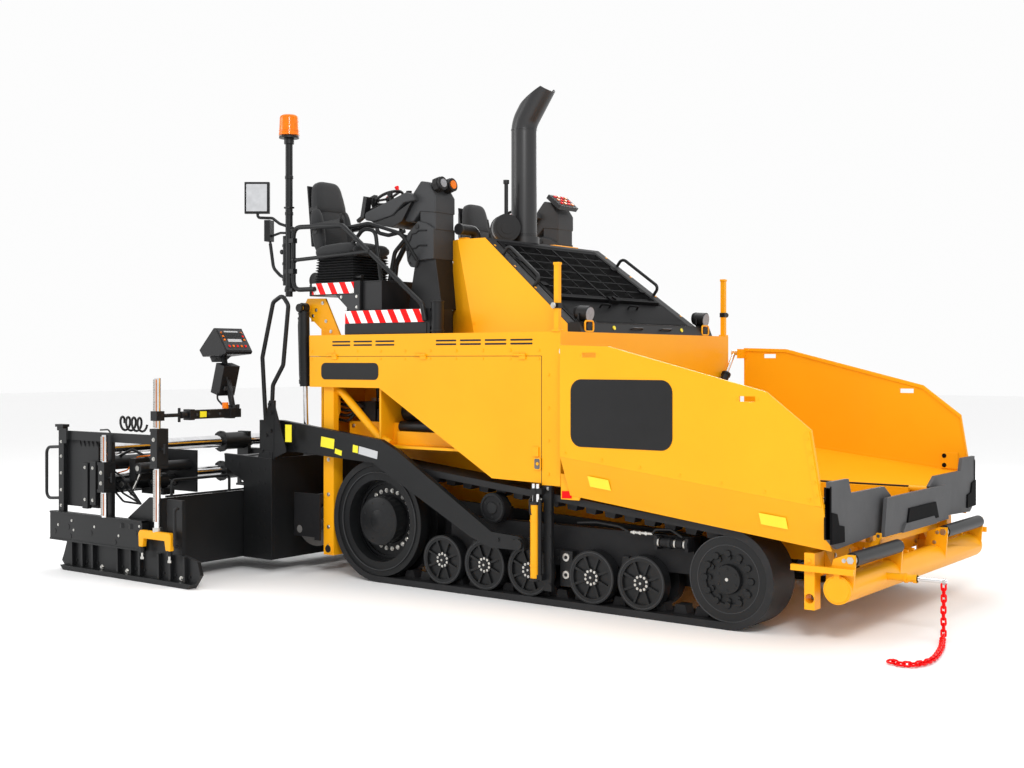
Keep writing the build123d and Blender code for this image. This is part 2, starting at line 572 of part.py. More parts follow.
def grille():
    """Black grille: a frame in the hood's opening with cross bars, and the lamp band below it."""
    panel = grille_opening(-SEAT)
    plate = panel & box(0, GRILLE_LEN, -HOOD_Y, HOOD_Y, -30, -14)
    rim = (panel - grille_opening(-50)) & box(0, GRILLE_LEN, -HOOD_Y, HOOD_Y, -14, 8)
    bars = []
    for index in range(1, GRILLE_BARS):
        x = 60 + index * (GRILLE_LEN - 220) / GRILLE_BARS
        bars.append(box(x, x + 18, 40 - GRILLE_TOP_Y, GRILLE_TOP_Y - 40, -14, 4))
    for step in range(-2, 3):
        y = step * GRILLE_PITCH_Y
        bars.append(box(80, GRILLE_LEN - 180, y - 8, y + 8, -14, 4))
    return on_slope(fuse(plate, rim, *bars))


def lamp_band():
    """Low black band in front of the hood with its two lamps and the grab rails' feet."""
    band = side_plate(
        ((HOOD_FRONT - 70, DECK_Z), (HOOD_FRONT - 70, DECK_Z + 75), (HOOD_FRONT + 30, DECK_Z + 75),
         (HOOD_FRONT + 60, DECK_Z)), -HOOD_Y, HOOD_Y)
    band = band - hood_block(0)
    lamps = []
    for y in (-LAMP_Y, LAMP_Y):
        stem = box(HOOD_FRONT - 15, HOOD_FRONT + 15, y - 15, y + 15, DECK_Z + 70, DECK_Z + 110)
        lamp = rod((HOOD_FRONT - 35, y, DECK_Z + 150), (HOOD_FRONT + 55, y, DECK_Z + 140), LAMP_R)
        lamps += [stem, lamp]
    return fuse(band, *lamps)


def grab_rails():
    """Grab rails along both edges of the hood's slope."""
    rails = []
    for side in (-1, 1):
        (low_x, low_y), (top_x, top_y) = RAIL_LOW, RAIL_TOP
        low, top = side * low_y, side * top_y
        points = ((low_x, low, -40), (low_x, low, 95), (top_x, top, 95), (top_x, top, -40))
        rails.append(on_slope(bent_tube(points, 14, 45)))
    return fuse(*rails) - hood_block(0)


def exhaust():
    """Bent exhaust stack, its base, the air cleaner and the elbow duct."""
    base = HOOD_TOP_Z
    path = ((STACK_X, STACK_Y, base), (STACK_X, STACK_Y, STACK_TOP), (STACK_X + 215, STACK_Y, 4240))
    stack = bent_tube(path, STACK_R, 240) - bent_tube(path, STACK_R - 8, 240)
    cutter = Pos(STACK_X + 150, STACK_Y, 4300) * Rot(0, -28, 0) * Box(700, 500, 240)
    stack = stack - cutter
    foot = ring_up(STACK_X, STACK_Y, base, base + 60, STACK_R + 22)
    cleaner = rod((-60, -330, base + 122), (40, -420, base + 122), 118)
    cleaner_leg = box(-50, 20, -400, -350, base, base + 60)
    pipe = bent_tube(((-190, -560, base), (-190, -560, base + 95), (-190, -790, base + 95)), 45, 60)
    core = ring_up(STACK_X, STACK_Y, base - 1, base + 61, STACK_R - 8)
    return fuse(stack, foot - core, cleaner, cleaner_leg), pipe


def ring_up(x, y, z0, z1, radius):
    """Upright disc."""
    return rod((x, y, z0), (x, y, z1), radius)


def guide_posts():
    """Yellow sight posts at the hopper's rear corners."""
    return both(box(BODY_FRONT - 60, BODY_FRONT - 20, -BODY_Y, -BODY_Y + 38, DECK_Z, 2590))


def rear_posts():
    """Yellow rear legs and the brackets that carry the lift cylinders."""
    inner = -LEG_OUT + LEG_T
    leg = box(LEG_REAR, LEG_FRONT, -LEG_OUT, inner, 177, SHELF_Z)
    leg = fuse(leg, box(LEG_REAR, LEG_FRONT, -LEG_OUT, -LEG_OUT + 60, SHELF_Z + SHELF_T, DOOR_OPEN_Z))
    nose = ((BODY_REAR, DECK_Z), (BODY_REAR, DECK_Z + 55), (LIFT_X - 55, LIFT_Z - 28),
            (LIFT_X - 55, LIFT_Z + 27), (LIFT_X - 15, LIFT_Z + 87))
    bracket = side_plate((*nose, (-1370, LIFT_Z + 82), (-1190, DECK_Z)),
                         -BRACKET_Y - BRACKET_T, -BRACKET_Y)
    cheek = side_plate((*nose, (-1420, LIFT_Z + 82), (-1300, DECK_Z)), -CHEEK_Y - CHEEK_T, -CHEEK_Y)
    pin = ring(LIFT_X, LIFT_Z, -LIFT_Y - 62, -CHEEK_Y, LIFT_PIN_R)
    cap = ring(LIFT_X, LIFT_Z, -LIFT_Y - 62, -LIFT_Y - 51, LIFT_PIN_R + 10)
    tie = box(LIFT_X + 15, LIFT_X + 145, -BRACKET_Y - 3, -CHEEK_Y - CHEEK_T + 5, 2200, LIFT_Z + 67)
    eyes = ring((LEG_FRONT + LEG_REAR) / 2, 230, -LEG_OUT - 20, inner + 10, EYE_BORE_R)
    return (both(leg) - both(eyes)) + both(fuse(bracket, cheek, tie, pin, cap))


# ---------------------------------------------------------------- wings, aprons, rollers

def wing_section(x, fold_z, thick_low, thick_high):
    """Floor plate's (y, z) section between the hinge and the wall."""
    inner = -WING_HINGE_Y
    return Pos(x, 0, 0) * (Plane.YZ * outline(
        ((inner, WING_HINGE_Z - 10), (inner, WING_HINGE_Z + 10),
         (-WING_Y + 1, fold_z + thick_high), (-WING_Y + 1, fold_z - thick_low))))


def wing():
    """Hopper wing: outer wall, sloping floor, skirt and hinge bar."""
    top = [(WING_REAR, 1970), *WING_TOP, (WING_FRONT, FOLD_FRONT_Z), (WING_REAR, FOLD_REAR_Z)]
    wall = side_plate(top, -WING_Y, -WING_Y + WING_T)
    floor = loft([wing_section(WING_REAR, FOLD_REAR_Z, 0, 22),
                  wing_section(WING_FRONT, FOLD_FRONT_Z, 0, 22)], ruled=True)
    skirt_faces = []
    for x, z in ((WING_REAR, FOLD_REAR_Z), (WING_FRONT, FOLD_FRONT_Z)):
        skirt_faces.append(Pos(x, 0, 0) * (Plane.YZ * outline(
            ((-WING_Y, z + 4), (-WING_Y + WING_T, z + 4),
             (-WING_Y + SKIRT_IN + WING_T, z - SKIRT_DROP), (-WING_Y + SKIRT_IN, z - SKIRT_DROP)))))
    skirt = loft(skirt_faces, ruled=True)
    hinge = rod((WING_REAR, -WING_HINGE_Y, WING_HINGE_Z), (WING_FRONT, -WING_HINGE_Y, WING_HINGE_Z),
                WING_HINGE_R)
    ear = box(WING_REAR, WING_REAR + 20, -WING_Y + 5, -RAM_EYE[0] + 45, RAM_EYE[1] - 50,
              RAM_EYE[1] + 35)
    slots = []
    for x, z in HAND_SLOTS:
        slots.append(box(x - 60, x + 60, -WING_Y - 1, -WING_Y + WING_T + 1, z - 18, z + 18))
    notch_out = WING_HINGE_Y + EAR_R + 2 * GAP
    for x in WING_EAR_X:
        floor = floor - box(x - GAP, x + EAR_T + GAP, -notch_out, -WING_HINGE_Y + EAR_R, 780, 960)
    return fuse(wall, floor, skirt, hinge, ear) - slots


def side_apron():
    """Dark plate across the wing's front end."""
    plate = cross_plate(
        ((30 - WING_Y, 1075), (-1150, 1075), (-1105, 975), (-520, 975), (-395, 905), (-545, 660),
         (-1340, 630), (30 - WING_Y, 700)), SIDE_APRON_X, SIDE_APRON_X + APRON_T)
    pad = box(WING_FRONT, SIDE_APRON_X, 30 - WING_Y, -700, 905, 950)
    return plate, pad


def centre_apron():
    """Dark centre plate that tips forward on its lower edge, with its rubber block."""
    plate = cross_plate(
        ((-608, 905), (-660, 640), (660, 640), (608, 905)), CENTRE_APRON_X, CENTRE_APRON_X + APRON_T)
    block = cross_plate(
        ((-350, 640), (-290, 700), (290, 700), (350, 640)),
        CENTRE_APRON_X + APRON_T, CENTRE_APRON_X + APRON_T + 18)
    pin_half = APRON_HALF + 20
    hinge = ring(APRON_HINGE_X, APRON_HINGE_Z, -pin_half, pin_half, APRON_PIN_R)
    return fuse(plate, block, hinge)


def push_roller():
    """Black push roller on its spindle."""
    body = rod((ROLLER_X, -ROLLER_OUT, ROLLER_Z), (ROLLER_X, -ROLLER_IN, ROLLER_Z), ROLLER_R)
    pin = rod((ROLLER_X, -ROLLER_OUT - 22, ROLLER_Z), (ROLLER_X, -ROLLER_IN + 22, ROLLER_Z), SPINDLE_R)
    return fuse(body, pin)


# ---------------------------------------------------------------- cylinders

def cylinder_pair(foot, eye, barrel_len, radius, rod_radius, overlap, depth):
    """Barrel and rod of a hydraulic cylinder between its foot and its eye."""
    foot, eye = Vector(foot), Vector(eye)
    along = (eye - foot).normalized()
    mouth = foot + along * barrel_len
    barrel = rod(foot + along * 30, mouth, radius)
    bore = rod(mouth - along * depth, mouth + along, rod_radius + SEAT)
    rod_body = rod(mouth - along * overlap, eye - along * 20, rod_radius)
    return barrel - bore, rod_body


def lift_cylinders():
    """Screed lift cylinders: barrels on the brackets' pins and rods down to the tow arms."""
    foot, eye = (LIFT_X, -LIFT_Y, LIFT_Z), (EYE_X, -LIFT_Y, EYE_Z)
    barrel, stem = cylinder_pair(foot, eye, LIFT_BARREL, LIFT_R, LIFT_ROD_R, 350, 620)
    head = ring(LIFT_X, LIFT_Z, -LIFT_Y - 28, -LIFT_Y + 28, LIFT_R - 2)
    pin_hole = ring(LIFT_X, LIFT_Z, -LIFT_Y - 60, -LIFT_Y + 60, LIFT_PIN_R + SEAT)
    barrel = fuse(barrel, head) - pin_hole
    eye_ring = ring(EYE_X, EYE_Z, -LIFT_Y - 42, -LIFT_Y + 30, 40)
    return both(barrel), both(fuse(stem, eye_ring))


def wing_cylinder():
    """Wing cylinder behind the hopper's rear corner."""
    foot = (WING_RAM_X, -RAM_FOOT[0], RAM_FOOT[1])
    eye = (WING_RAM_X, -RAM_EYE[0], RAM_EYE[1])
    barrel, stem = cylinder_pair(foot, eye, WING_RAM_BARREL, WING_RAM_R, WING_RAM_ROD_R, 330, 350)
    head = rod((WING_RAM_X - 26, foot[1], foot[2]), (WING_RAM_X + 26, foot[1], foot[2]), 34)
    hole = rod((WING_RAM_X - 60, foot[1], foot[2]), (WING_RAM_X + 60, foot[1], foot[2]),
               RAM_STUB_R + SEAT)
    eye_disc = rod((WING_RAM_X - 20, eye[1], eye[2]), (WING_RAM_X + 36, eye[1], eye[2]), 26)
    return fuse(barrel, head) - hole, fuse(stem, eye_disc)


# ---------------------------------------------------------------- tow points, augers, screed

def tow_guide():
    """Tow point: vertical guide, slide block with the tow pin, and the tow cylinder."""
    face, back = -BODY_Y - 5, -BODY_Y + 30
    parts = [box(TOW_BAR_X, TOW_BAR_X + 70, face, back, 117, MOUTH_LOW)]
    parts.append(box(985, TOW_BAR_X + 70, face, back, 790, 905))
    parts.append(box(850, TOW_BAR_X + 5, face, back - 2, TOW_Z - 46, TOW_Z + 46))
    parts.append(ring(TOW_X, TOW_Z, -ARM_OUT - 22, back - 20, TOW_PIN_R - SEAT))
    parts.append(ring(TOW_X, TOW_Z, -ARM_OUT - 22, -ARM_OUT - 8, TOW_PIN_R + 12))
    x, y = TOW_BAR_X - 60, face - 31
    parts.append(rod((x, y, 190), (x, y, 775), 33))
    parts.append(rod((x, y, 775), (x, y, 870), 17))
    parts.append(box(x - 25, x + 75, y - 19, face + 5, 850, 890))
    parts.append(box(x + 10, x + 75, y - 19, face + 5, 200, 240))
    return fuse(*parts)


def auger_frame():
    """Gearbox, cross beam and end bearings that hang the augers behind the tractor."""
    beam, case, rear = LEG_REAR - 60, 48, AUGER_X - 65
    parts = [both(box(beam, LEG_REAR, -AUGER_OUT - 10, -FRAME_Y - FRAME_T, 615, 700))]
    parts.append(box(beam, FRAME_REAR, -case, case, 560, SHELF_Z))
    parts.append(box(rear, beam + 5, -case, case, 640, 720))
    parts.append(box(rear, AUGER_X + 65, -case, case, AUGER_Z - 60, 640))
    end = box(rear, LEG_REAR, -AUGER_OUT - 22, -AUGER_OUT - 6, 300, 700)
    end = end - box(rear - 100, beam - 5, -AUGER_OUT - 30, -AUGER_OUT, 250, AUGER_Z - 60)
    hole = ring(AUGER_X, AUGER_Z, -AUGER_OUT - 40, AUGER_OUT + 40, AUGER_SHAFT_R + SEAT)
    return fuse(*parts, both(end)) - hole


def auger():
    """Screw on a shaft, its flights cut from tilted discs."""
    shaft = ring(AUGER_X, AUGER_Z, -AUGER_OUT - 20, -10, AUGER_SHAFT_R)
    flights = [ring(AUGER_X, AUGER_Z, -AUGER_OUT, -60, AUGER_CORE_R)]
    count = 5
    for index in range(count):
        y = -190 - index * (AUGER_OUT - 290) / (count - 1)
        disc = Rot(14, 0, 0) * ring(0, 0, -7, 7, AUGER_R * 0.99)
        flights.append(Pos(AUGER_X, y, AUGER_Z) * disc)
    return fuse(shaft, *flights)


def tow_arm():
    """Long bent arm from the tow point back to the screed."""
    rear = SCREED_FRONT + 18
    upper = ((rear, HEAD_TOP), (-1495, 1308), (-526, 1201), (-336, 1115), (634, 532), (893, 516))
    lower = ((948, 411), (616, 412), (426, 478), (-613, 1007), (-1495, HEAD_LOW), (rear, HEAD_LOW))
    nose = ((930, 500), (948, 458))
    arm = side_plate((*upper, *nose, *lower), -ARM_OUT, -ARM_IN)
    return arm - ring(TOW_X, TOW_Z, -ARM_OUT - 1, -ARM_IN + 1, TOW_PIN_R)


def screed_frame():
    """Main screed: front wall, sole plate, end plates, head brackets and the tube carrier."""
    half, front, rear = SCREED_Y, SCREED_FRONT, SCREED_REAR
    parts = [box(front - 20, front, -half, half, SCREED_LOW, SCREED_TOP)]
    parts.append(box(rear, front, -half, half, SCREED_LOW, SCREED_LOW + 40))
    parts.append(box(rear, front, -half, half, SCREED_TOP - 60, SCREED_TOP))
    end = side_plate(
        ((front, SCREED_LOW), (front, SCREED_TOP), (rear - 255, SCREED_TOP + 20), (rear - 245, 900),
         (rear, 780), (rear, SCREED_LOW)), -half, -half + 25)
    parts.append(both(end))
    head = side_plate(
        ((front + 20, SCREED_TOP - 20), (front + 20, 1506), (front - 43, 1506),
         (front - 181, SCREED_TOP)), -half + 12, -half + 37)
    parts.append(both(head))
    arm_end = front + 18
    parts.append(both(box(arm_end - 200, arm_end, -half + 30, -ARM_IN, HEAD_LOW, HEAD_TOP)))
    parts.append(both(box(front - 153, front - 3, -half + 30, -ARM_IN - 10, SCREED_TOP - 10, HEAD_LOW + 2)))
    parts.append(box(rear - 215, rear - 115, -half + 20, half - 20, 880, SCREED_TOP))
    for y in (-WALK_BEAM_Y, WALK_BEAM_Y):
        parts.append(box(WALK_REAR + 20, rear - 195, y - 40, y + 40, 900, 980))
        for x in (WALK_REAR + 20, WALK_FRONT - 120):
            parts.append(box(x, x + 50, y - 40, y - 25, WALK_Z, 905))
    for side, offset in ((-1, 0), (1, TUBE_STAGGER)):
        x = TUBE_X + offset
        for z, radius in TUBE_TABLE:
            y0, y1 = side * SLEEVE_OUT, side * (SLEEVE_OUT - SLEEVE_LEN)
            parts.append(ring(x, z, min(y0, y1), max(y0, y1), radius + 22))
            parts.append(ring(x, z, min(y0, y0 - side * 24), max(y0, y0 - side * 24), radius + 40))
        low, high = TUBE_TABLE[1][0], TUBE_TABLE[0][0]
        y = side * (SLEEVE_OUT - SLEEVE_LEN)
        parts.append(box(x - 75, x + 75, min(y, y + side * 40), max(y, y + side * 40), low - 90, high + 90))
    bores = []
    for side, offset in ((-1, 0), (1, TUBE_STAGGER)):
        x = TUBE_X + offset
        for z, radius in TUBE_TABLE:
            bores.append(ring(x, z, -SCREED_Y, SCREED_Y, radius + SEAT))
    body = fuse(*parts)
    for bore in bores:
        body = body - bore
    return body


def screed_walkway():
    """Rear walkway and centre guard on the main screed."""
    half = WALK_BEAM_Y + 40
    return box(WALK_REAR, WALK_FRONT, -half, half, WALK_Z - WALK_T, WALK_Z)


def screed_handle():
    """Tall grab hoop beside a tow arm's head."""
    y = -SCREED_Y + 60
    points = ((-1862, y, 1320), (-1905, y, 1883), (-1767, y, 2369), (-1650, y, 2427),
              (-1575, y, 2340), (-1640, y, 1816), (-1770, y, 1640), (-1790, y, 1320))
    return bent_tube(points, 19, 55) - box(-1950, -1700, y - 40, y + 40, 1280, HEAD_TOP)


# ---------------------------------------------------------------- extensions

def extension():
    """Screed extension: mould board, sole, end gate with skid, posts and top beam."""
    face, out = -GATE_Y, -(GATE_Y - GATE_T)
    inner = out + EXT_LEN
    front, rear = EXT_FRONT, EXT_REAR
    parts = [box(front - 20, front, out, inner, SCREED_LOW, EXT_TOP)]
    parts.append(box(rear, front, out, inner, SCREED_LOW, SCREED_LOW + 40))
    rib = ((front, SCREED_LOW), (front, EXT_TOP), (front - 160, EXT_TOP), (rear, 380), (rear, SCREED_LOW))
    for y in (out + 10, inner - 25, (out + inner) / 2):
        parts.append(side_plate(rib, y, y + 15))
    gate = ((front + 514, 217), (front + 550, 112), (front + 462, 0), (rear - 620, 0), (rear - 699, 70),
            (rear - 660, 150), (rear - 620, GATE_TOP), (front + 342, GATE_TOP))
    parts.append(side_plate(gate, face, out))
    skid = ((front + 402, 0), (front + 462, 0), (front + 502, 40), (rear - 640, 40), (rear - 600, 0))
    parts.append(side_plate(skid, face - 60, face))
    parts.append(box(rear - 820, front - 148, face - 40, out, GATE_TOP, 505))
    parts.append(box(front + 127, front + 322, face, out, GATE_TOP, 704))
    parts.append(box(front - 158, front + 132, face, out, GATE_TOP, 420))
    post, beam = rear - 735, (1150, 1230)
    parts.append(box(post, post + 75, face - 10, out, 500, beam[1] + 30))
    parts.append(box(post + 65, front + 27, face, face + 24, *beam))
    for (x, low, high), (sleeve_low, sleeve_high) in zip(JACK_TABLE, JACK_SLEEVES):
        sleeve = box(x - 42, x + 42, face - JACK_OUT - 40, out, sleeve_low, sleeve_high)
        bore = rod((x, face - JACK_OUT, sleeve_low - 1), (x, face - JACK_OUT, sleeve_high + 1),
                   JACK_R + SEAT)
        parts.append(sleeve - bore)
    x, low, _ = JACK_TABLE[0]
    parts.append(box(x - 44, x + 44, face - JACK_OUT - 35, face, low - 50, low))
    x = JACK_TABLE[1][0]
    parts.append(box(x - 38, x + 37, face, out, 500, beam[0] + 10))
    parts.append(box(post, TUBE_X + 90 + TUBE_STAGGER, out - 1, out + 26, 560, beam[0] + 10))
    return fuse(*parts)


def extension_console():
    """Control arm from the gate's jack inwards, with its tilted display console."""
    x, z, jack_y, y = JACK_TABLE[0][0], PANEL_ARM_Z, -GATE_Y - JACK_OUT, -PANEL_Y
    arm = box(x - 38, x + 38, -2150, y + 40, z - 38, z + 38)
    link = ring(x, z, jack_y + JACK_R, -2140, 16)
    collar = box(x - 40, x + 40, jack_y - 40, jack_y + 40, z - 40, z + 40)
    collar = collar - rod((x, jack_y, z - 41), (x, jack_y, z + 41), JACK_R + SEAT)
    neck = rod((x - 20, y, z + 20), (x - 149, y, z + 504), 26)
    keypad = Pos(x - 124, y, z + 294) * Rot(0, 16, 0) * Box(100, 170, 260)
    screen = Pos(x - 144, y, z + 604) * Rot(0, -32, 0) * Box(280, 230, 70)
    back = Pos(x - 159, y, z + 534) * Rot(0, -32, 0) * Box(190, 150, 90)
    return fuse(arm, link, collar, neck, keypad, screen, back)


def extension_hoop():
    """Grab hoop behind an end gate."""
    y, front, rear = -GATE_Y + 20, EXT_REAR - 690, REAR_HOOP_X + HOOP_R
    path = ((front, y, 625), (rear, y, 607), (rear, y, 1069), (front, y, 1085))
    return bent_tube(path, HOOP_R, 60)


def extension_chrome(offset):
    """Chrome tubes that carry an extension and the jack screws of its end gate."""
    out = -(GATE_Y - GATE_T) + 26
    pieces = [ring(TUBE_X + offset, z, out, out + TUBE_LEN, radius) for z, radius in TUBE_TABLE]
    for x, z0, z1 in JACK_TABLE:
        pieces.append(rod((x, -GATE_Y - JACK_OUT, z0), (x, -GATE_Y - JACK_OUT, z1), JACK_R))
    return fuse(*pieces)


# ---------------------------------------------------------------- operator stations

def station():
    """Platform, pivot post and seat box of an operator station."""
    x0, x1 = PLATFORM_X
    out, inner = -STATION_Y, -SEAT_MID_Y + SEAT_HALF
    notch, pivot_y = x1 - 175, -STATION_Y + 40
    parts = [box(x0, notch, out, -720, DECK_Z, PLATFORM_TOP)]
    parts.append(box(notch, x1, out, -1000, DECK_Z, PLATFORM_TOP))
    parts.append(rod((x1 + 47, pivot_y, DECK_Z), (x1 + 47, pivot_y, PLATFORM_TOP + 48), 50))
    parts.append(box(x1, x1 + 47, pivot_y - 35, pivot_y + 35, DECK_Z + 60, PLATFORM_TOP - 22))
    parts.append(box(x0 - 400, SEAT_BOX_X, out, inner + 16, SEAT_BOX_LOW, SEAT_BOX_TOP))
    brace = ((x0 - 113, SEAT_BOX_LOW), (SEAT_BOX_X, SEAT_BOX_LOW), (SEAT_BOX_X, PLATFORM_TOP),
             (x0 + 57, PLATFORM_TOP))
    parts.append(side_plate(brace, out, out + 20))
    parts.append(box(x0, SEAT_BOX_X, out + 20, inner - 5, PLATFORM_TOP, SEAT_BOX_LOW))
    return fuse(*parts)


def seat_stand():
    """Folded suspension stand under the seat."""
    parts = []
    for index in range(FOLD_COUNT):
        z = SEAT_BOX_TOP + index * FOLD_PITCH
        wide, thin = SEAT_HALF - 15, SEAT_HALF - 35
        parts.append(box(-1420 + 12 * index, -960, -SEAT_MID_Y - wide, -SEAT_MID_Y + wide, z, z + 40))
        parts.append(box(-1400, -980, -SEAT_MID_Y - thin, -SEAT_MID_Y + thin, z + 38, z + 54))
    return fuse(*parts)


def seat():
    """Soft seat: cushion with side bolsters and a back whose edges stand forward."""
    mid, half, low = -SEAT_MID_Y, SEAT_HALF, SEAT_Z + SEAT
    cushion = box(SEAT_REAR, SEAT_FRONT, mid - half, mid + half, low, low + 95)
    bolsters = []
    for y in (mid - half, mid + half - BOLSTER_W):
        bolsters.append(box(SEAT_REAR, SEAT_FRONT - 50, y, y + BOLSTER_W, low + 90, low + 120))
    top_x, top_z = SEAT_REAR - 120, SEAT_Z + 695
    back = side_plate(
        ((SEAT_REAR, SEAT_Z + 60), (SEAT_REAR + 110, SEAT_Z + 60), (top_x + 110, top_z), (top_x, top_z)),
        mid - half + 15, mid + half - 15)
    return fuse(cushion, back, *bolsters)


def console():
    """Control column with its sloping desk."""
    y0, y1 = -CONSOLE_Y - CONSOLE_HALF, -CONSOLE_Y + CONSOLE_HALF
    low, top = CONSOLE_LOW, CONSOLE_TOP
    parts = [box(-520, -270, y0, y1, PLATFORM_TOP, low)]
    parts.append(box(-600, -260, y0 - 15, y1 + 15, low, top))
    desk = ((-520, top), (-1070, top), (-1090, top + 80), (-480, top + 220), (-330, top + 320),
            (-250, top + 240), (-280, top))
    parts.append(side_plate(desk, y0 - 60, y1 + 60))
    parts.append(box(-330, -240, y0 - 30, y1 + 30, top + 245, top + 360))
    return fuse(*parts)


def steering_wheel():
    """Small steering wheel on its short stem."""
    low, high = Vector(WHEEL_AXIS[0]), Vector(WHEEL_AXIS[1])
    axis = (high - low).normalized()
    plane = Plane(origin=high, z_dir=axis)
    rim = plane * Torus(STEER_R, STEER_RIM_R)
    hub = plane * (Pos(0, 0, -12) * Cylinder(38, 30))
    spokes = [plane * (Rot(0, 0, 120 * step) * (Pos(STEER_R / 2, 0, -8) * Box(STEER_R, 24, 12)))
              for step in range(3)]
    stem = rod(low + axis, high, 14)
    return fuse(rim, hub, stem, *spokes)


def rails():
    """Guard rails and mirror beside a seat."""
    y = -RAIL_Y
    rail = bent_tube(((-1380, y, 2478), (-1647, y, 2478), (-1647, y, 3030), (-1049, y, 3013),
                      (-150, y, 2316), (-120, y, 2180)), TUBE_R, 55)
    middle = rod((-1640, y, 2740), (-735, y, 2772), TUBE_R - 4)
    arm = bent_tube(((-1640, y, 3020), (-1800, y - 20, 3070), (-1850, y - 60, 3120),
                     (MIRROR_X, y - 130, 3125), (MIRROR_X, y - 130, 3200)), 13, 28)
    mirror_plate = Pos(MIRROR_X, y - 135, 3300) * Rot(0, 0, 37) * Box(36, 215, 275)
    return fuse(rail, middle, arm, mirror_plate)


def beacon_pole():
    """Pole that carries the beacon, clamped to the rail."""
    y = -RAIL_Y
    pole = rod((POLE_X, y, 2420), (POLE_X, y, POLE_TOP), POLE_R)
    clamps = [box(POLE_X - 36, -1625, y - 26, y + 26, z, z + 45) for z in (2620, 2890)]
    return fuse(pole, *clamps)


def beacon():
    """Warning beacon: base and lens."""
    y = -RAIL_Y
    base = ring_up(POLE_X, y, POLE_TOP, POLE_TOP + 30, BEACON_R + 8)
    lens = ring_up(POLE_X, y, POLE_TOP + 30, POLE_TOP + BEACON_H, BEACON_R)
    return fuse(base, lens)


# ---------------------------------------------------------------- marker chain

def guide_chain():
    """Limp chain hanging from the guide rod and lying on the floor."""
    points = [Vector(point) for point in CHAIN_PATH]
    radii = []
    for before, corner, after in zip(points, points[1:], points[2:]):
        turn = (corner - before).get_angle(after - corner)
        run = min((corner - before).length, (after - corner).length)
        radii.append(0.45 * run / math.tan(math.radians(turn) / 2))
    print("chain arcs:", " ".join(f"{radius:.1f}" for radius in radii))
    edges, start = [], points[0]
    for index, radius in enumerate(radii):
        before, corner, after = points[index:index + 3]
        into, out = (corner - before).normalized(), (after - corner).normalized()
        setback = radius * math.tan(math.radians(into.get_angle(out)) / 2)
        first, last = corner - into * setback, corner + out * setback
        edges.append(Edge.make_line(start, first))
        edges.append(Edge.make_tangent_arc(first, into, last))
        start = last
    edges.append(Edge.make_line(start, points[-1]))
    section = Plane(origin=points[0], z_dir=points[1] - points[0]) * Circle(CHAIN_R)
    return sweep(section, path=Wire(edges))


# ---------------------------------------------------------------- write everything

def main():
    """Build and write every node."""
    frame, hood_shell = main_frame(), hood()
    save("main_frame", frame)
    save("conveyor", conveyor())
    save("engine_block", box(-250, 750, -420, 420, SHELF_Z + 20, 2040))
    for name, shape in (("track", track()), ("wing", wing()), ("wing_apron", fuse(*side_apron())),
                        ("push_roller", push_roller()), ("side_door", side_door()),
                        ("auger", auger()),
                        ("extension", fuse(extension(), extension_console(), extension_hoop())),
                        ("station", station()), ("seat", seat()), ("steering_wheel", steering_wheel())):
        save(f"{name}_right", shape)
        save(f"{name}_left", left_of(shape))
    save("drive_wheels", both(drive_wheel()))
    save("idler_wheels", both(idler_wheel()))
    bogie_set = bogies()
    save("bogies", Compound(children=[*bogie_set.solids(), *left_of(bogie_set).solids()]))
    save("track_frames", both(track_frame()))
    save("front_beam", front_beam())
    save("guide_rod", guide_rod())
    save("bulkhead", bulkhead())
    save("deck", deck())
    save("inner_body", inner_body())
    save("hood", hood_shell)
    save("grille", grille())
    save("lamp_band", lamp_band())
    save("grab_rails", grab_rails())
    stack, duct = exhaust()
    save("exhaust", stack)
    save("duct", duct)
    save("guide_posts", guide_posts())
    save("rear_posts", rear_posts())
    save("centre_apron", centre_apron())
    barrels, stems = lift_cylinders()
    save("lift_barrels", barrels)
    save("lift_rods", stems)
    wing_barrel, wing_rod = wing_cylinder()
    save("wing_barrel_right", wing_barrel)
    save("wing_barrel_left", left_of(wing_barrel))
    save("wing_rod_right", wing_rod)
    save("wing_rod_left", left_of(wing_rod))
    save("tow_guides", both(tow_guide()))
    save("auger_frame", auger_frame())
    save("tow_arms", both(tow_arm()))
    save("screed_frame", screed_frame())
    save("screed_walkway", screed_walkway())
    save("screed_handles", both(screed_handle()))
    save("extension_chrome_right", extension_chrome(0))
    save("extension_chrome_left", left_of(extension_chrome(TUBE_STAGGER)))
    save("seat_stands", both(seat_stand()))
    save("consoles", both(console()))
    save("rails", fuse(rails(), beacon_pole()) + left_of(rails()))
    save("guide_chain", guide_chain())
    save("beacon", beacon())


main()
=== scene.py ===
"""Looks of the tracked asphalt paver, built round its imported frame.

Sketches are drawn in the machine's own millimetres, x from the middle of the tractor, the right side
at -Y. Most are mirrored to the left, or drawn once for each side: -1 is right and 1 is left.
place() turns them into the frame's metres.
"""
import math

import bmesh
import bpy
from mathutils import Matrix, Vector


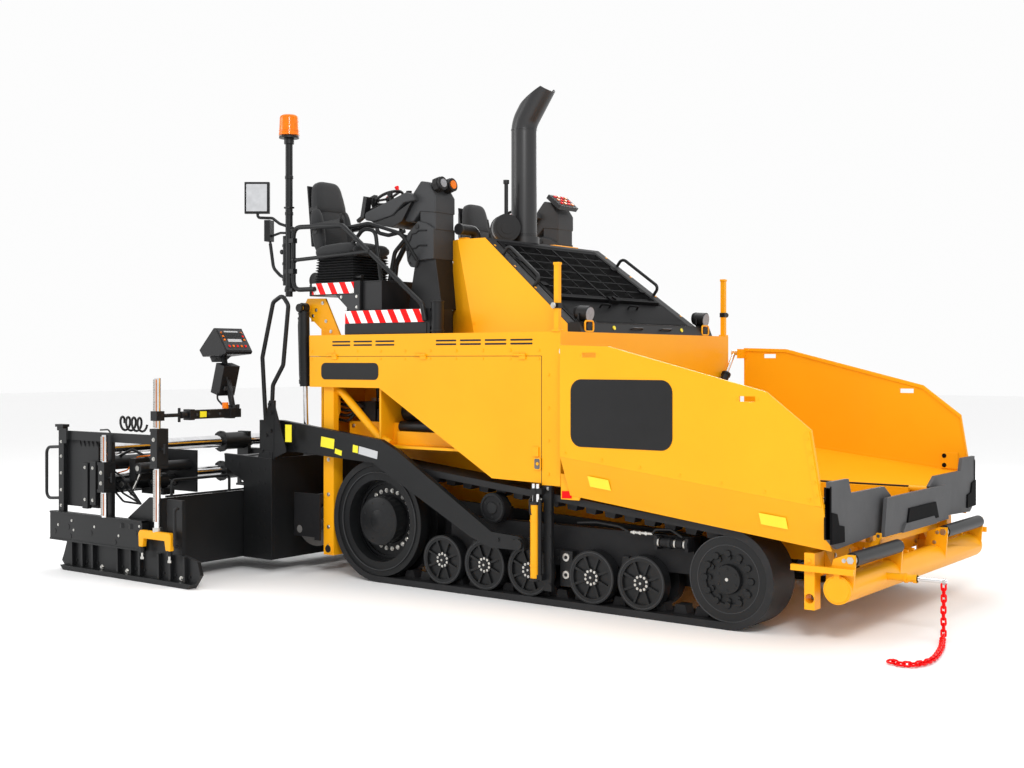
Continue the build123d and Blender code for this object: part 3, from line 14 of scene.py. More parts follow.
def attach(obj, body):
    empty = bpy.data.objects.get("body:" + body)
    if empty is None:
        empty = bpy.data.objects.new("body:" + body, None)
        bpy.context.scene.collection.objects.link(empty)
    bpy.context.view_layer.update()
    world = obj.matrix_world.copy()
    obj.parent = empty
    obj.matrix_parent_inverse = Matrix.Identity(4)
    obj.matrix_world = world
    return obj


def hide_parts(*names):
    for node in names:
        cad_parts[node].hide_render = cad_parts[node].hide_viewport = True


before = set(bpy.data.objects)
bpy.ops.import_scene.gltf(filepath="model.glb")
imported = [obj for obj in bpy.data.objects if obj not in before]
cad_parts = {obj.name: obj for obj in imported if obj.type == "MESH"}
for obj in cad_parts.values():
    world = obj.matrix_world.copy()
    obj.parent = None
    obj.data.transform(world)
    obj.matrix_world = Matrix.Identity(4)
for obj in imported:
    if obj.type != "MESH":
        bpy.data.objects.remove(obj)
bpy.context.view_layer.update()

MM = 0.001
MID_X = 107.5                       # the frame's origin in the drawing, mm
CREASE = math.radians(38)           # edges that turn more than this stay sharp
BEVEL_FROM = math.radians(40)       # edges that turn more than this are bevelled
PAIR = ((-1, "right"), (1, "left"))
TO_RIGHT, TO_FRONT, TO_REAR, UP = (0, -1, 0), (1, 0, 0), (-1, 0, 0), (0, 0, 1)

# Places shared with the frame, mm in the drawing
DRIVE_X, DRIVE_Z = -645, 512
IDLER_X, IDLER_Z = 2612, 348
CARRIER_X, CARRIER_Z = 552, 700
BOGIE_X, BOGIE_Z = (45, 475, 905, 1480, 1910), 248
BODY_Y, BODY_REAR, DOOR_EDGE = 1340, -1419, 1063
DECK_Z, STATION_Y = 2075, 1290
HOOD_REAR, HOOD_TOP_X, HOOD_FRONT, HOOD_TOP_Z = -246, 142, 1173, 2875
HOOD_SIDE_LOW, HOOD_LEAN, HOOD_FLARE, REAR_SIDE = 1047, 0.239, 0.58, 801
EDGE_HALF, GAP_HALF = (853, 1044), (748, 905)      # half widths of slope and opening, top and foot
LOUVRES, LOUVRE_PITCH = 40, 19.5
SLOPE = math.atan2(HOOD_TOP_Z - DECK_Z - 4, HOOD_FRONT - HOOD_TOP_X)
SLOPE_LEN = math.hypot(HOOD_TOP_Z - DECK_Z - 4, HOOD_FRONT - HOOD_TOP_X)
SLOPE_OUT = (math.sin(SLOPE), 0, math.cos(SLOPE))       # stands out of the sloped face
STACK_AT, CLEANER = (25, -150), (-60, -330, 2997)
WING_Y, WING_REAR = 1485, 1335
FOLD_REAR, FOLD_DROP, FOLD_RUN = 1150, 240, 2057        # fold line of a hopper wing
FOLD_LEAN = 135 / 297               # how far the wing leans in under that line
ROLLER_X, ROLLER_Z, ROLLER_OUT, ROLLER_IN = 3506, 562, 1290, 480
BEAM_OUT, GUIDE_Y, GUIDE_Z = 1344, -700, 383       # front beam's end, and the guide rod in it
ARM_OUT = 1405
TOW_X, TOW_Y, TOW_PLATE = 1030, -1376, -1346       # tow point's cylinder and the plate behind it
SCREED_Y = 1500
GATE_Y, GATE_TOP = 2430, 1262
JACK_X, JACK_REAR = -2041, -2752    # height jacks of an end gate
TUBE_X = {-1: -3210, 1: -3040}      # telescopic tubes of the right and the left extension
SEAT_Y, SEAT_BASE, BACK_LEAN = 1055, 2745, -9.7
CONSOLE_Y, DESK_SLOPE = 895, 0.307
RAIL_Y, POLE_X = 1311.3, -1702      # guard rail and the beacon's pole
TAPE_PITCH = 0.07                   # warning tape's bands, m

# Marker chain: its route in the drawing, then its links and clearances in metres
CHAIN_PATH = (
    (3903, -700, 367.6), (3906, -702, 270), (3902, -704, 170), (3907, -710, 80), (3917, -745, 24),
    (3945, -850, 18), (3990, -985, 18), (4024, -1120, 18), (4052, -1250, 18), (4076, -1390, 18),
    (4076, -1530, 18), (4030, -1640, 18), (3945, -1655, 18), (3865, -1605, 18),
)
LINK_PITCH, LINK_LEN, LINK_WIDTH, LINK_WIRE = 0.0385, 0.067, 0.044, 0.0071
LINK_OVER_FLOOR, LINK_PAST_END = 0.0004, 0.012

# Camera and lamps: the camera stands in the drawing, the lamps in metres
CAMERA_AT, CAMERA_HEADING = (6873, -9447, 1860), 36.9
CAMERA_LENS, CAMERA_SENSOR, CAMERA_SHIFT = 46.3, 36, -0.0234
LAMP_AIM = Vector((0, 0, 1.2))
LAMPS = (       # name, place, size in m, power in W
    ("key", (7.0, -9.0, 8.0), 3.0, 560),
    ("top", (-1.0, 1.0, 11.0), 5.0, 330),
    ("fill", (-9.0, -7.0, 5.0), 5.0, 200),
    ("back", (-3.0, 10.0, 7.0), 5.0, 260),
)


def place(point):
    """Drawing millimetres to the frame's metres."""
    x, y, z = point
    return Vector(((x - MID_X) * MM, y * MM, z * MM))


def circle(count, start=0.0):
    """Angles at equal steps round a circle."""
    return [math.tau * (i + start) / count for i in range(count)]


# ---------------------------------------------------------------- materials

def add_node(tree, kind, **values):
    """Shader node with inputs set by name."""
    node = tree.nodes.new(f"ShaderNode{kind}")
    for name, value in values.items():
        node.inputs[name.replace("_", " ")].default_value = value
    return node


def new_material(name, **values):
    """Node material, its tree, and its shader with inputs set by name."""
    material = bpy.data.materials.new(f"{name}_look")
    material.use_nodes = True
    shader = material.node_tree.nodes["Principled BSDF"]
    for key, value in values.items():
        shader.inputs[key.replace("_", " ")].default_value = value
    return material, material.node_tree, shader


def own_place(tree):
    """The piece's own coordinates."""
    return add_node(tree, "TexCoord").outputs["Object"]


def noise(tree, scale, detail=4.0, rough=0.55):
    """Noise over the piece's own coordinates."""
    texture = add_node(tree, "TexNoise", Scale=scale, Detail=detail, Roughness=rough)
    tree.links.new(own_place(tree), texture.inputs["Vector"])
    return texture.outputs["Fac"]


def ramp(tree, source, low, high, dark, light):
    """Two colours blended by a value between two stops."""
    node = add_node(tree, "ValToRGB")
    for stop, position, colour in zip(node.color_ramp.elements, (low, high), (dark, light)):
        stop.position = position
        stop.color = (*colour, 1)
    tree.links.new(source, node.inputs["Fac"])
    return node.outputs["Color"]


def mix(tree, factor, first, second):
    """Colour mix; each input is a socket or a colour."""
    node = add_node(tree, "Mix")
    node.data_type = "RGBA"
    for socket, value in zip((node.inputs[0], node.inputs[6], node.inputs[7]), (factor, first, second)):
        if isinstance(value, bpy.types.NodeSocket):
            tree.links.new(value, socket)
        else:
            socket.default_value = (*value, 1)
    return node.outputs[2]


def bump(tree, shader, height, strength, distance):
    """Bump the shader's surface by a height."""
    node = add_node(tree, "Bump", Strength=strength, Distance=distance)
    tree.links.new(height, node.inputs["Height"])
    tree.links.new(node.outputs["Normal"], shader.inputs["Normal"])


def paint(name, colour, shade, roughness=0.34, coat=0.25, shine=0.5):
    """Sprayed paint: slight colour drift, orange peel and a soft clear coat."""
    material, tree, shader = new_material(name, Specular_IOR_Level=shine, Roughness=roughness,
                                          Coat_Weight=coat, Coat_Roughness=0.12)
    drift = ramp(tree, noise(tree, 1.3, 5), 0.35, 0.7, shade, colour)
    tree.links.new(drift, shader.inputs["Base Color"])
    bump(tree, shader, noise(tree, 260, 2), 0.05, 0.0006)
    return material


def dusty(name, colour, shade, dust, roughness, amount, grain=90, strength=0.15, shine=0.3):
    """Rubber, plastic or steel with fine grain and dust caught in patches."""
    material, tree, shader = new_material(name, Specular_IOR_Level=shine, Roughness=roughness)
    base = ramp(tree, noise(tree, 3.0, 6), 0.3, 0.72, shade, colour)
    patches = ramp(tree, noise(tree, 9.0, 8, 0.7), 0.5, 0.78, (0, 0, 0), (amount, amount, amount))
    tree.links.new(mix(tree, patches, base, dust), shader.inputs["Base Color"])
    bump(tree, shader, noise(tree, grain, 6), strength, 0.0012)
    return material


def metal(name, colour, roughness, scratch=0.05):
    """Bare or plated metal, finely scratched."""
    material, tree, shader = new_material(name, Metallic=1.0, Roughness=roughness)
    tone = tuple(channel * 0.82 for channel in colour)
    tree.links.new(ramp(tree, noise(tree, 14, 6), 0.3, 0.7, tone, colour), shader.inputs["Base Color"])
    bump(tree, shader, noise(tree, 400, 3), scratch, 0.0003)
    return material


def glass_like(name, colour, roughness=0.08, transmission=0.15):
    """Tinted clear plastic."""
    material, tree, shader = new_material(name, Roughness=roughness, Transmission_Weight=transmission,
                                          Coat_Weight=0.1, Specular_IOR_Level=0.2)
    tone = tuple(channel * 0.8 for channel in colour)
    tree.links.new(ramp(tree, noise(tree, 30, 2), 0.3, 0.7, tone, colour), shader.inputs["Base Color"])
    return material


def stripes(name, white, red, slant=0.55):
    """Warning tape with slanting bands."""
    material, tree, shader = new_material(name, Roughness=0.35, Specular_IOR_Level=0.15)
    split = add_node(tree, "SeparateXYZ")
    tree.links.new(own_place(tree), split.inputs[0])
    value = split.outputs["Z"]
    for operation, amount in (("MULTIPLY_ADD", slant), ("PINGPONG", TAPE_PITCH),
                              ("GREATER_THAN", TAPE_PITCH / 2)):
        step = add_node(tree, "Math")
        step.operation = operation
        step.inputs[1].default_value = amount
        tree.links.new(value, step.inputs[0])
        if operation == "MULTIPLY_ADD":
            tree.links.new(split.outputs["X"], step.inputs[2])
        value = step.outputs[0]
    tree.links.new(mix(tree, value, white, red), shader.inputs["Base Color"])
    bump(tree, shader, noise(tree, 500, 1), 0.08, 0.0002)
    return material


def woven(name, colour, thread):
    """Close-woven seat cloth."""
    material, tree, shader = new_material(name, Roughness=0.85, Sheen_Weight=0.12)
    cross = add_node(tree, "Math")
    cross.operation = "MULTIPLY"
    for direction, socket in zip("XZ", cross.inputs):
        wave = add_node(tree, "TexWave", Scale=130, Distortion=1.2)
        wave.bands_direction = direction
        tree.links.new(own_place(tree), wave.inputs["Vector"])
        tree.links.new(wave.outputs["Fac"], socket)
    tree.links.new(ramp(tree, cross.outputs[0], 0.1, 0.9, colour, thread), shader.inputs["Base Color"])
    bump(tree, shader, cross.outputs[0], 0.35, 0.0008)
    return material


YELLOW = paint("yellow_paint", (0.90, 0.400, 0.004), (0.87, 0.372, 0.003), 0.42, 0.06, 0.25)
BLACK = paint("black_paint", (0.0105, 0.011, 0.012), (0.007, 0.0075, 0.008), 0.42, 0.03, 0.26)
DARK = dusty("frame_paint", (0.011, 0.011, 0.012), (0.007, 0.007, 0.008), (0.03, 0.028, 0.026), 0.5, 0.2,
             90, 0.15, 0.2)
CHARCOAL = dusty("moulded_plastic", (0.040, 0.041, 0.043), (0.030, 0.031, 0.033), (0.05, 0.05, 0.05),
                 0.55, 0.1, 420, 0.2)
PLASTIC = dusty("black_plastic", (0.010, 0.010, 0.011), (0.007, 0.007, 0.0075), (0.02, 0.02, 0.02),
                0.42, 0.1)
BORDER = dusty("border_black", (0.020, 0.020, 0.021), (0.016, 0.016, 0.017), (0.03, 0.03, 0.03), 0.6, 0.1,
               300, 0.1, 0.1)
GRILLE = dusty("grille_black", (0.0055, 0.0055, 0.006), (0.004, 0.004, 0.0045), (0.012, 0.012, 0.012),
               0.7, 0.1, 300, 0.1, 0.06)
RUBBER = dusty("track_rubber", (0.016, 0.016, 0.017), (0.010, 0.010, 0.011), (0.04, 0.037, 0.034),
               0.55, 0.2)
PLATE_RUBBER = dusty("apron_rubber", (0.078, 0.079, 0.082), (0.058, 0.059, 0.062), (0.11, 0.11, 0.11),
                     0.6, 0.25, 140, 0.5)
WORN = dusty("worn_steel", (0.17, 0.165, 0.16), (0.08, 0.077, 0.075), (0.24, 0.20, 0.16), 0.42, 0.35)
CHROME = metal("chrome", (0.83, 0.83, 0.84), 0.10)
BOLT = metal("zinc_bolt", (0.62, 0.61, 0.58), 0.3)
STEEL = metal("bare_steel", (0.50, 0.49, 0.47), 0.35, 0.15)
STACK = paint("stack_steel", (0.012, 0.012, 0.013), (0.008, 0.008, 0.009), 0.36, 0.1)
AMBER = glass_like("amber_lens", (1.0, 0.22, 0.0))
LENS = glass_like("lamp_lens", (0.34, 0.35, 0.37))
RED = paint("red_plastic", (0.88, 0.0, 0.001), (0.80, 0.0, 0.001), 0.4, 0.05, 0.15)
LABEL = paint("yellow_label", (0.90, 0.78, 0.02), (0.84, 0.70, 0.02), 0.4, 0.1)
WHITE = paint("pale_plate", (0.55, 0.56, 0.57), (0.48, 0.49, 0.50), 0.35, 0.2)
CLOTH = woven("seat_cloth", (0.009, 0.0095, 0.0105), (0.020, 0.021, 0.023))
TAPE = stripes("warning_tape", (0.90, 0.90, 0.89), (0.86, 0.0, 0.001))
MIRROR = metal("mirror_glass", (0.75, 0.76, 0.78), 0.03)

NODE_MATERIALS = {      # a star stands for right and left
    YELLOW: "front_beam bulkhead deck hood guide_posts rear_posts wing_* side_door_* main_frame inner_body",
    BLACK: "drive_wheels idler_wheels bogies grab_rails rails tow_arms screed_frame screed_walkway"
           " screed_handles extension_* push_roller_* lift_barrels wing_barrel_* station_* tow_guides",
    DARK: "track_frames auger_frame engine_block",
    GRILLE: "grille",
    PLASTIC: "lamp_band duct steering_wheel_*",
    CHARCOAL: "consoles",
    RUBBER: "track_* seat_stands",
    PLATE_RUBBER: "wing_apron_* centre_apron",
    WORN: "conveyor auger_*",
    CHROME: "guide_rod extension_chrome_* lift_rods wing_rod_*",
    STACK: "exhaust",
    AMBER: "beacon",
    RED: "guide_chain",
    CLOTH: "seat_*",
}
for material, names in NODE_MATERIALS.items():
    for name in sorted({name.replace("*", tag) for name in names.split() for _, tag in PAIR}):
        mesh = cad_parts[name].data
        mesh.materials.clear()
        mesh.materials.append(material)


# ---------------------------------------------------------------- sketching

class Sketch:
    """Solids drawn in millimetres that become one piece."""

    def __init__(self):
        self.bm = bmesh.new()

    def verts(self, points):
        """New vertices at drawing points."""
        return [self.bm.verts.new(place(point)) for point in points]

    def face(self, verts):
        """Face over distinct vertices."""
        if len(set(verts)) > 2:
            self.bm.faces.new(verts)

    def walls(self, rings):
        """Faces between each ring of vertices and the next."""
        for first, second in zip(rings, rings[1:]):
            for i in range(len(first)):
                j = (i + 1) % len(first)
                self.face([first[i], first[j], second[j], second[i]])

    def ends(self, rings):
        """Faces over the first ring and the last."""
        self.face(rings[0][::-1])
        self.face(rings[-1])

    def block(self, corners_low, corners_high):
        """Solid between two matching rings of points."""
        rings = [self.verts(corners_low), self.verts(corners_high)]
        self.ends(rings)
        self.walls(rings)

    def frustum(self, *levels):
        """Upright solid between two levels, each given as x0, x1, y0, y1 and z."""
        self.block(*([(x, y, z) for x, y in rectangle(x0, x1, y0, y1)] for x0, x1, y0, y1, z in levels))

    def box(self, x0, x1, y0, y1, z0, z1):
        """Upright block."""
        self.frustum((x0, x1, y0, y1, z0), (x0, x1, y0, y1, z1))

    def tilted(self, centre, size, turn, axis="Y"):
        """Block of a size turned about an axis through its centre."""
        matrix = Matrix.Rotation(math.radians(turn), 3, axis)
        half = Vector(size) / 2
        self.block(*([Vector(centre) + matrix @ Vector((x * half.x, y * half.y, z * half.z))
                      for x, y in rectangle(-1, 1, -1, 1)] for z in (-1, 1)))

    def side_plate(self, outline, y0, y1):
        """Plate with (x, z) corners between two y planes."""
        self.block([(x, y1, z) for x, z in outline], [(x, y0, z) for x, z in outline])

    def cross_plate(self, outline, x0, x1):
        """Plate with (y, z) corners between two x planes."""
        self.block([(x0, y, z) for y, z in outline], [(x1, y, z) for y, z in outline])

    def rings(self, start, end, spots, sides):
        """Rings of points about the line between two points, each at an end with a radius."""
        turn = (end - start).to_track_quat("Z", "Y")
        return [[centre + turn @ Vector((radius * math.cos(angle), radius * math.sin(angle), 0))
                 for angle in circle(sides)] for centre, radius in spots]

    def rod(self, start, end, radius, sides=24, end_radius=None):
        """Round bar or cone between two points."""
        start, end = Vector(start), Vector(end)
        last = radius if end_radius is None else end_radius
        self.block(*self.rings(start, end, ((start, radius), (end, last)), sides))

    def across(self, x, z, y0, y1, *form):
        """Rod along Y; form is its radius, sides and end radius."""
        self.rod((x, y0, z), (x, y1, z), *form)

    def upright(self, x, y, z0, z1, *form):
        """Rod along Z."""
        self.rod((x, y, z0), (x, y, z1), *form)

    def lengthways(self, x0, x1, y, z, *form):
        """Rod along X."""
        self.rod((x0, y, z), (x1, y, z), *form)

    def sleeve(self, start, end, outer, inner, sides=32):
        """Hollow collar between two points."""
        spots = ((start, outer), (end, outer), (end, inner), (start, inner))
        rings = [self.verts(ring) for ring in self.rings(start, end, spots, sides)]
        self.walls(rings + rings[:1])

    def tube(self, points, radius, bend=40, sides=12, steps=6):
        """Round tube whose corners are rounded by arcs."""
        path = rounded([Vector(p) for p in points], bend, steps)
        rings = []
        heading = (path[1] - path[0]).normalized()
        across = heading.orthogonal().normalized()
        for index, centre in enumerate(path):
            heading = (path[min(index + 1, len(path) - 1)] - path[max(index - 1, 0)]).normalized()
            across = (across - heading * across.dot(heading)).normalized()
            other = heading.cross(across)
            rings.append(self.verts([centre + (across * math.cos(angle) + other * math.sin(angle)) * radius
                                     for angle in circle(sides)]))
        self.walls(rings)
        self.ends(rings)

    def hoop(self, x, z, y, radius, wire, sides=56, wire_sides=8):
        """Round wire bent to a circle about an axle along Y."""
        rings = []
        for angle in circle(sides):
            sizes = [(radius + wire * math.cos(turn), wire * math.sin(turn)) for turn in circle(wire_sides)]
            rings.append(self.verts([(x + size * math.cos(angle), y + lift, z + size * math.sin(angle))
                                     for size, lift in sizes]))
        self.walls(rings + rings[:1])

    def flat_ring(self, x, z, y0, y1, outer, inner, sides=48):
        """Flat ring about an axle along Y, in wedges."""
        for i in range(sides):
            a, b, c, d = ((x + radius * math.cos(angle), z + radius * math.sin(angle))
                          for angle in (math.tau * i / sides, math.tau * (i + 1) / sides)
                          for radius in (inner, outer))
            self.side_plate((a, b, d, c), y1, y0)

    def coil(self, start, end, radius, turns, wire, flat=0.6, steps=12):
        """Coiled lead between two points along X, its turns a little flattened in Y."""
        (x0, y, z0), (x1, _, z1) = start, end
        count = turns * steps
        points = []
        for t in (i / count for i in range(count + 1)):
            angle = math.tau * turns * t
            points.append((x0 + (x1 - x0) * t, y + radius * flat * math.cos(angle),
                           z0 + (z1 - z0) * t + radius * math.sin(angle)))
        self.tube(points, wire, 4, 8, 1)

    def bolt(self, point, outward, radius=11, height=8):
        """Hexagon bolt head on its washer, standing out of a surface."""
        start, out = Vector(point), Vector(outward).normalized()
        self.rod(start - out, start + out * 2.5, radius * 1.45, 14)
        self.rod(start, start + out * height, radius, 6)

    def side_bolts(self, spots, y, out, radius, height):
        """Bolts at (x, z) places of a face that looks along Y, to the side named by out."""
        for x, z in spots:
            self.bolt((x, y, z), (0, out, 0), radius, height)

    def bolt_ring(self, x, z, y, radius, count, size, start=0.0, height=8, out=-1):
        """Bolts in a circle on a face that looks along Y."""
        self.side_bolts([(x + radius * math.cos(angle), z + radius * math.sin(angle))
                         for angle in circle(count, start)], y, out, size, height)

    def mirror(self):
        """Add the same on the other side."""
        copy = bmesh.ops.duplicate(self.bm, geom=list(self.bm.faces))["geom"]
        for vert in copy:
            if isinstance(vert, bmesh.types.BMVert):
                vert.co.y = -vert.co.y
        bmesh.ops.reverse_faces(self.bm, faces=[g for g in copy if isinstance(g, bmesh.types.BMFace)])
        return self

    def make(self, name, material, body="chassis", bevel=0.0, replaces=(), crease=CREASE):
        """Finish the mesh, shade it and put it on a body."""
        bmesh.ops.recalc_face_normals(self.bm, faces=self.bm.faces)
        for face in self.bm.faces:
            face.smooth = True
        for edge in self.bm.edges:
            if len(edge.link_faces) != 2 or edge.calc_face_angle(math.pi) > crease:
                edge.smooth = False
        mesh = bpy.data.meshes.new(name)
        self.bm.to_mesh(mesh)
        self.bm.free()
        mesh.materials.append(material)
        piece = add_object(name, mesh)
        if bevel:
            soften = piece.modifiers.new("soft_edges", "BEVEL")
            soften.width = bevel * MM
            soften.segments = 2
            soften.limit_method = "ANGLE"
            soften.angle_limit = BEVEL_FROM
            soften.harden_normals = True
        if replaces:
            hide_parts(*replaces)
        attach(piece, body)
        return piece


def sketches(count):
    """Several empty sketches."""
    return (Sketch() for _ in range(count))


def add_object(name, data):
    """Object with its data, in the scene."""
    piece = bpy.data.objects.new(name, data)
    bpy.context.scene.collection.objects.link(piece)
    return piece


def rectangle(x0, x1, y0, y1):
    """Corners of a rectangle, counted from the first of each."""
    return ((x0, y0), (x1, y0), (x1, y1), (x0, y1))


def rounded(points, bend, steps):
    """Path with each corner turned into an arc of short steps."""
    path = [points[0]]
    for before, corner, after in zip(points, points[1:], points[2:]):
        into, out = corner - before, after - corner
        turn = into.angle(out)
        if turn < 0.02:
            path.append(corner)
            continue
        setback = min(bend * math.tan(turn / 2), 0.48 * into.length, 0.48 * out.length)
        start, end = corner - into.normalized() * setback, corner + out.normalized() * setback
        for t in (i / steps for i in range(steps + 1)):
            path.append(start * (1 - t) ** 2 + corner * 2 * t * (1 - t) + end * t ** 2)
    path.append(points[-1])
    return path


def rounded_rect(x0, x1, z0, z1, radius, steps=5):
    """Corners of a rectangle with round corners."""
    outline = []
    middles = ((x1 - radius, z0 + radius, -90), (x1 - radius, z1 - radius, 0),
               (x0 + radius, z1 - radius, 90), (x0 + radius, z0 + radius, 180))
    for x, z, start in middles:
        for i in range(steps + 1):
            angle = math.radians(start + 90 * i / steps)
            outline.append((x + radius * math.cos(angle), z + radius * math.sin(angle)))
    return outline


# ---------------------------------------------------------------- camera and light

def camera():
    """Camera at the photograph's height and heading."""
    data = bpy.data.cameras.new("camera")
    data.lens = CAMERA_LENS
    data.sensor_width = CAMERA_SENSOR
    data.shift_y = CAMERA_SHIFT
    data.clip_end = 200
    piece = add_object("camera", data)
    piece.location = place(CAMERA_AT)
    piece.rotation_euler = (math.radians(90), 0, math.radians(CAMERA_HEADING))
    bpy.context.scene.camera = piece


def studio(floor_half=60.0, floor_drop=0.002):
    """Pale floor and soft light from above and both sides."""
    mesh = bpy.data.meshes.new("floor")
    corners = [(x * floor_half, y * floor_half, 0) for x, y in ((-1, -1), (1, -1), (1, 1), (-1, 1))]
    mesh.from_pydata(corners, [], [(0, 1, 2, 3)])
    floor = add_object("floor", mesh)
    floor.location.z = -floor_drop
    mesh.materials.append(new_material("floor_white", Roughness=0.9, Base_Color=(0.94, 0.94, 0.94, 1))[0])
    world = bpy.data.worlds.new("studio")
    world.use_nodes = True
    background = world.node_tree.nodes["Background"]
    background.inputs["Color"].default_value = (1, 1, 1, 1)
    background.inputs["Strength"].default_value = 0.98
    bpy.context.scene.world = world
    for name, spot, size, power in LAMPS:
        data = bpy.data.lights.new(name, "AREA")
        data.shape = "DISK"
        data.size = size
        data.energy = power
        lamp = add_object(name, data)
        lamp.location = spot
        lamp.rotation_euler = (LAMP_AIM - Vector(spot)).to_track_quat("-Z", "Y").to_euler()
    bpy.context.scene.view_settings.view_transform = "Standard"


# ---------------------------------------------------------------- marker chain

def chain_route():
    """Points along the chain, read from its spline."""
    curve = bpy.data.curves.new("chain_route", "CURVE")
    curve.dimensions = "3D"
    spline = curve.splines.new("NURBS")
    spline.points.add(len(CHAIN_PATH) - 1)
    for knot, point in zip(spline.points, CHAIN_PATH):
        knot.co = (*place(point), 1)
    spline.order_u = 3
    spline.use_endpoint_u = True
    spline.resolution_u = 12
    route = add_object("chain_route", curve)
    mesh = bpy.data.meshes.new_from_object(route)
    points = [vert.co.copy() for vert in mesh.vertices]
    bpy.data.objects.remove(route)
    bpy.data.meshes.remove(mesh)
    bpy.data.curves.remove(curve)
    return points


def spaced(points, pitch):
    """Places and headings at equal steps along a run of points, and its length."""
    found, travelled, target = [], 0.0, pitch / 2
    for a, b in zip(points, points[1:]):
        run = (b - a).length
        while run and target <= travelled + run:
            found.append((a.lerp(b, (target - travelled) / run), (b - a).normalized()))
            target += pitch
        travelled += run
    return found, travelled


def chain(around=20, wire_sides=8):
    """Links, each turned a quarter from the last, lifted clear of the floor."""
    points = chain_route()
    spots, length = spaced(points, LINK_PITCH)
    if length - (len(spots) - 0.5) * LINK_PITCH < LINK_LEN / 2 - LINK_PAST_END:
        spots.pop()
    links = Sketch()
    straight = (LINK_LEN - LINK_WIDTH) / 2
    bend = LINK_WIDTH / 2 - LINK_WIRE
    carried = Vector((0.8, 0.6, 0))
    for index, (spot, heading) in enumerate(spots):
        carried = (carried - heading * carried.dot(heading)).normalized()
        side = Matrix.Rotation(math.radians(90 * (index % 2)), 3, heading) @ carried
        normal = heading.cross(side)
        rings = []
        for angle in circle(around):
            out = heading * math.cos(angle) + side * math.sin(angle)
            middle = spot + out * bend + heading * math.copysign(straight, math.cos(angle))
            rings.append([middle + (out * math.cos(turn) + normal * math.sin(turn)) * LINK_WIRE
                          for turn in circle(wire_sides)])
        lift = max(0.0, LINK_OVER_FLOOR - min(point.z for ring in rings for point in ring))
        verts = [[links.bm.verts.new(point + Vector((0, 0, lift))) for point in ring] for ring in rings]
        links.walls(verts + verts[:1])
    piece = links.make("chain_links", RED, replaces=("guide_chain",), crease=math.pi)
    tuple(points[0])


# ---------------------------------------------------------------- wheels and tracks

def wheel_details():
    """Hub caps, dished liners and bolts of every wheel, and lighter rings on the rims that are painted
    highlights.
    """
    caps, bolts, liner, rim_highlights = sketches(4)
    face = -1298
    caps.across(DRIVE_X, DRIVE_Z, face, face - 5, 196, 48, 188)
    caps.across(DRIVE_X, DRIVE_Z, face - 4, face - 9, 92, 40, 84)
    bolts.bolt_ring(DRIVE_X, DRIVE_Z, -1160, 246, 24, 13, 0.5, 12)
    caps.bolt_ring(DRIVE_X, DRIVE_Z, face - 3, 160, 8, 8, 0.5, 4)
    for radius in (318, 352):
        liner.flat_ring(DRIVE_X, DRIVE_Z, -1180, -1160, radius, radius - 12)
    # Lighter grey hoops on the rims of the drive wheels, idlers and bogie wheels: painted highlights for the
    # light caught on the rim edges
    rim_highlights.hoop(DRIVE_X, DRIVE_Z, -1299, 410, 5)
    rim_highlights.hoop(IDLER_X, IDLER_Z, -1290, 296, 5)
    rim_highlights.hoop(IDLER_X, IDLER_Z, -1290, 236, 4)
    for angle in circle(12):
        x, z = IDLER_X + 178 * math.cos(angle), IDLER_Z + 178 * math.sin(angle)
        caps.across(x, z, -1286, -1304, 27, 20, 22)
    caps.across(IDLER_X, IDLER_Z, -1288, -1308, 104, 40, 98)
    caps.bolt_ring(IDLER_X, IDLER_Z, -1308, 74, 6, 8, 0.5, 4)
    bolts.across(IDLER_X, IDLER_Z, -1307, -1314, 12, 16)
    for x in BOGIE_X:
        caps.across(x, BOGIE_Z, -1289, -1296, 34, 24, 30)
        bolts.across(x, BOGIE_Z, -1295, -1301, 9, 16)
        bolts.bolt_ring(x, BOGIE_Z, -1289, 50, 10, 7, 0.5, 5)
        # Painted highlight: a lighter hoop on the bogie wheel's rim
        rim_highlights.hoop(x, BOGIE_Z, -1288, 184, 4.5)
    caps.flat_ring(CARRIER_X, CARRIER_Z, -1294, -1285, 112, 96)
    caps.across(CARRIER_X, CARRIER_Z, -1284, -1296, 52, 28, 44)
    caps.bolt_ring(CARRIER_X, CARRIER_Z, -1285, 76, 3, 10, 0.25, 8)
    caps.mirror().make("wheel_caps", BLACK, bevel=1.5)
    bolts.mirror().make("wheel_bolts", BOLT)
    liner.mirror().make("wheel_rings", BLACK)
    # The rim hoops are painted highlights, in a lighter grey than the black wheels
    rim_highlights.mirror().make("wheel_rim_highlights", CHARCOAL)


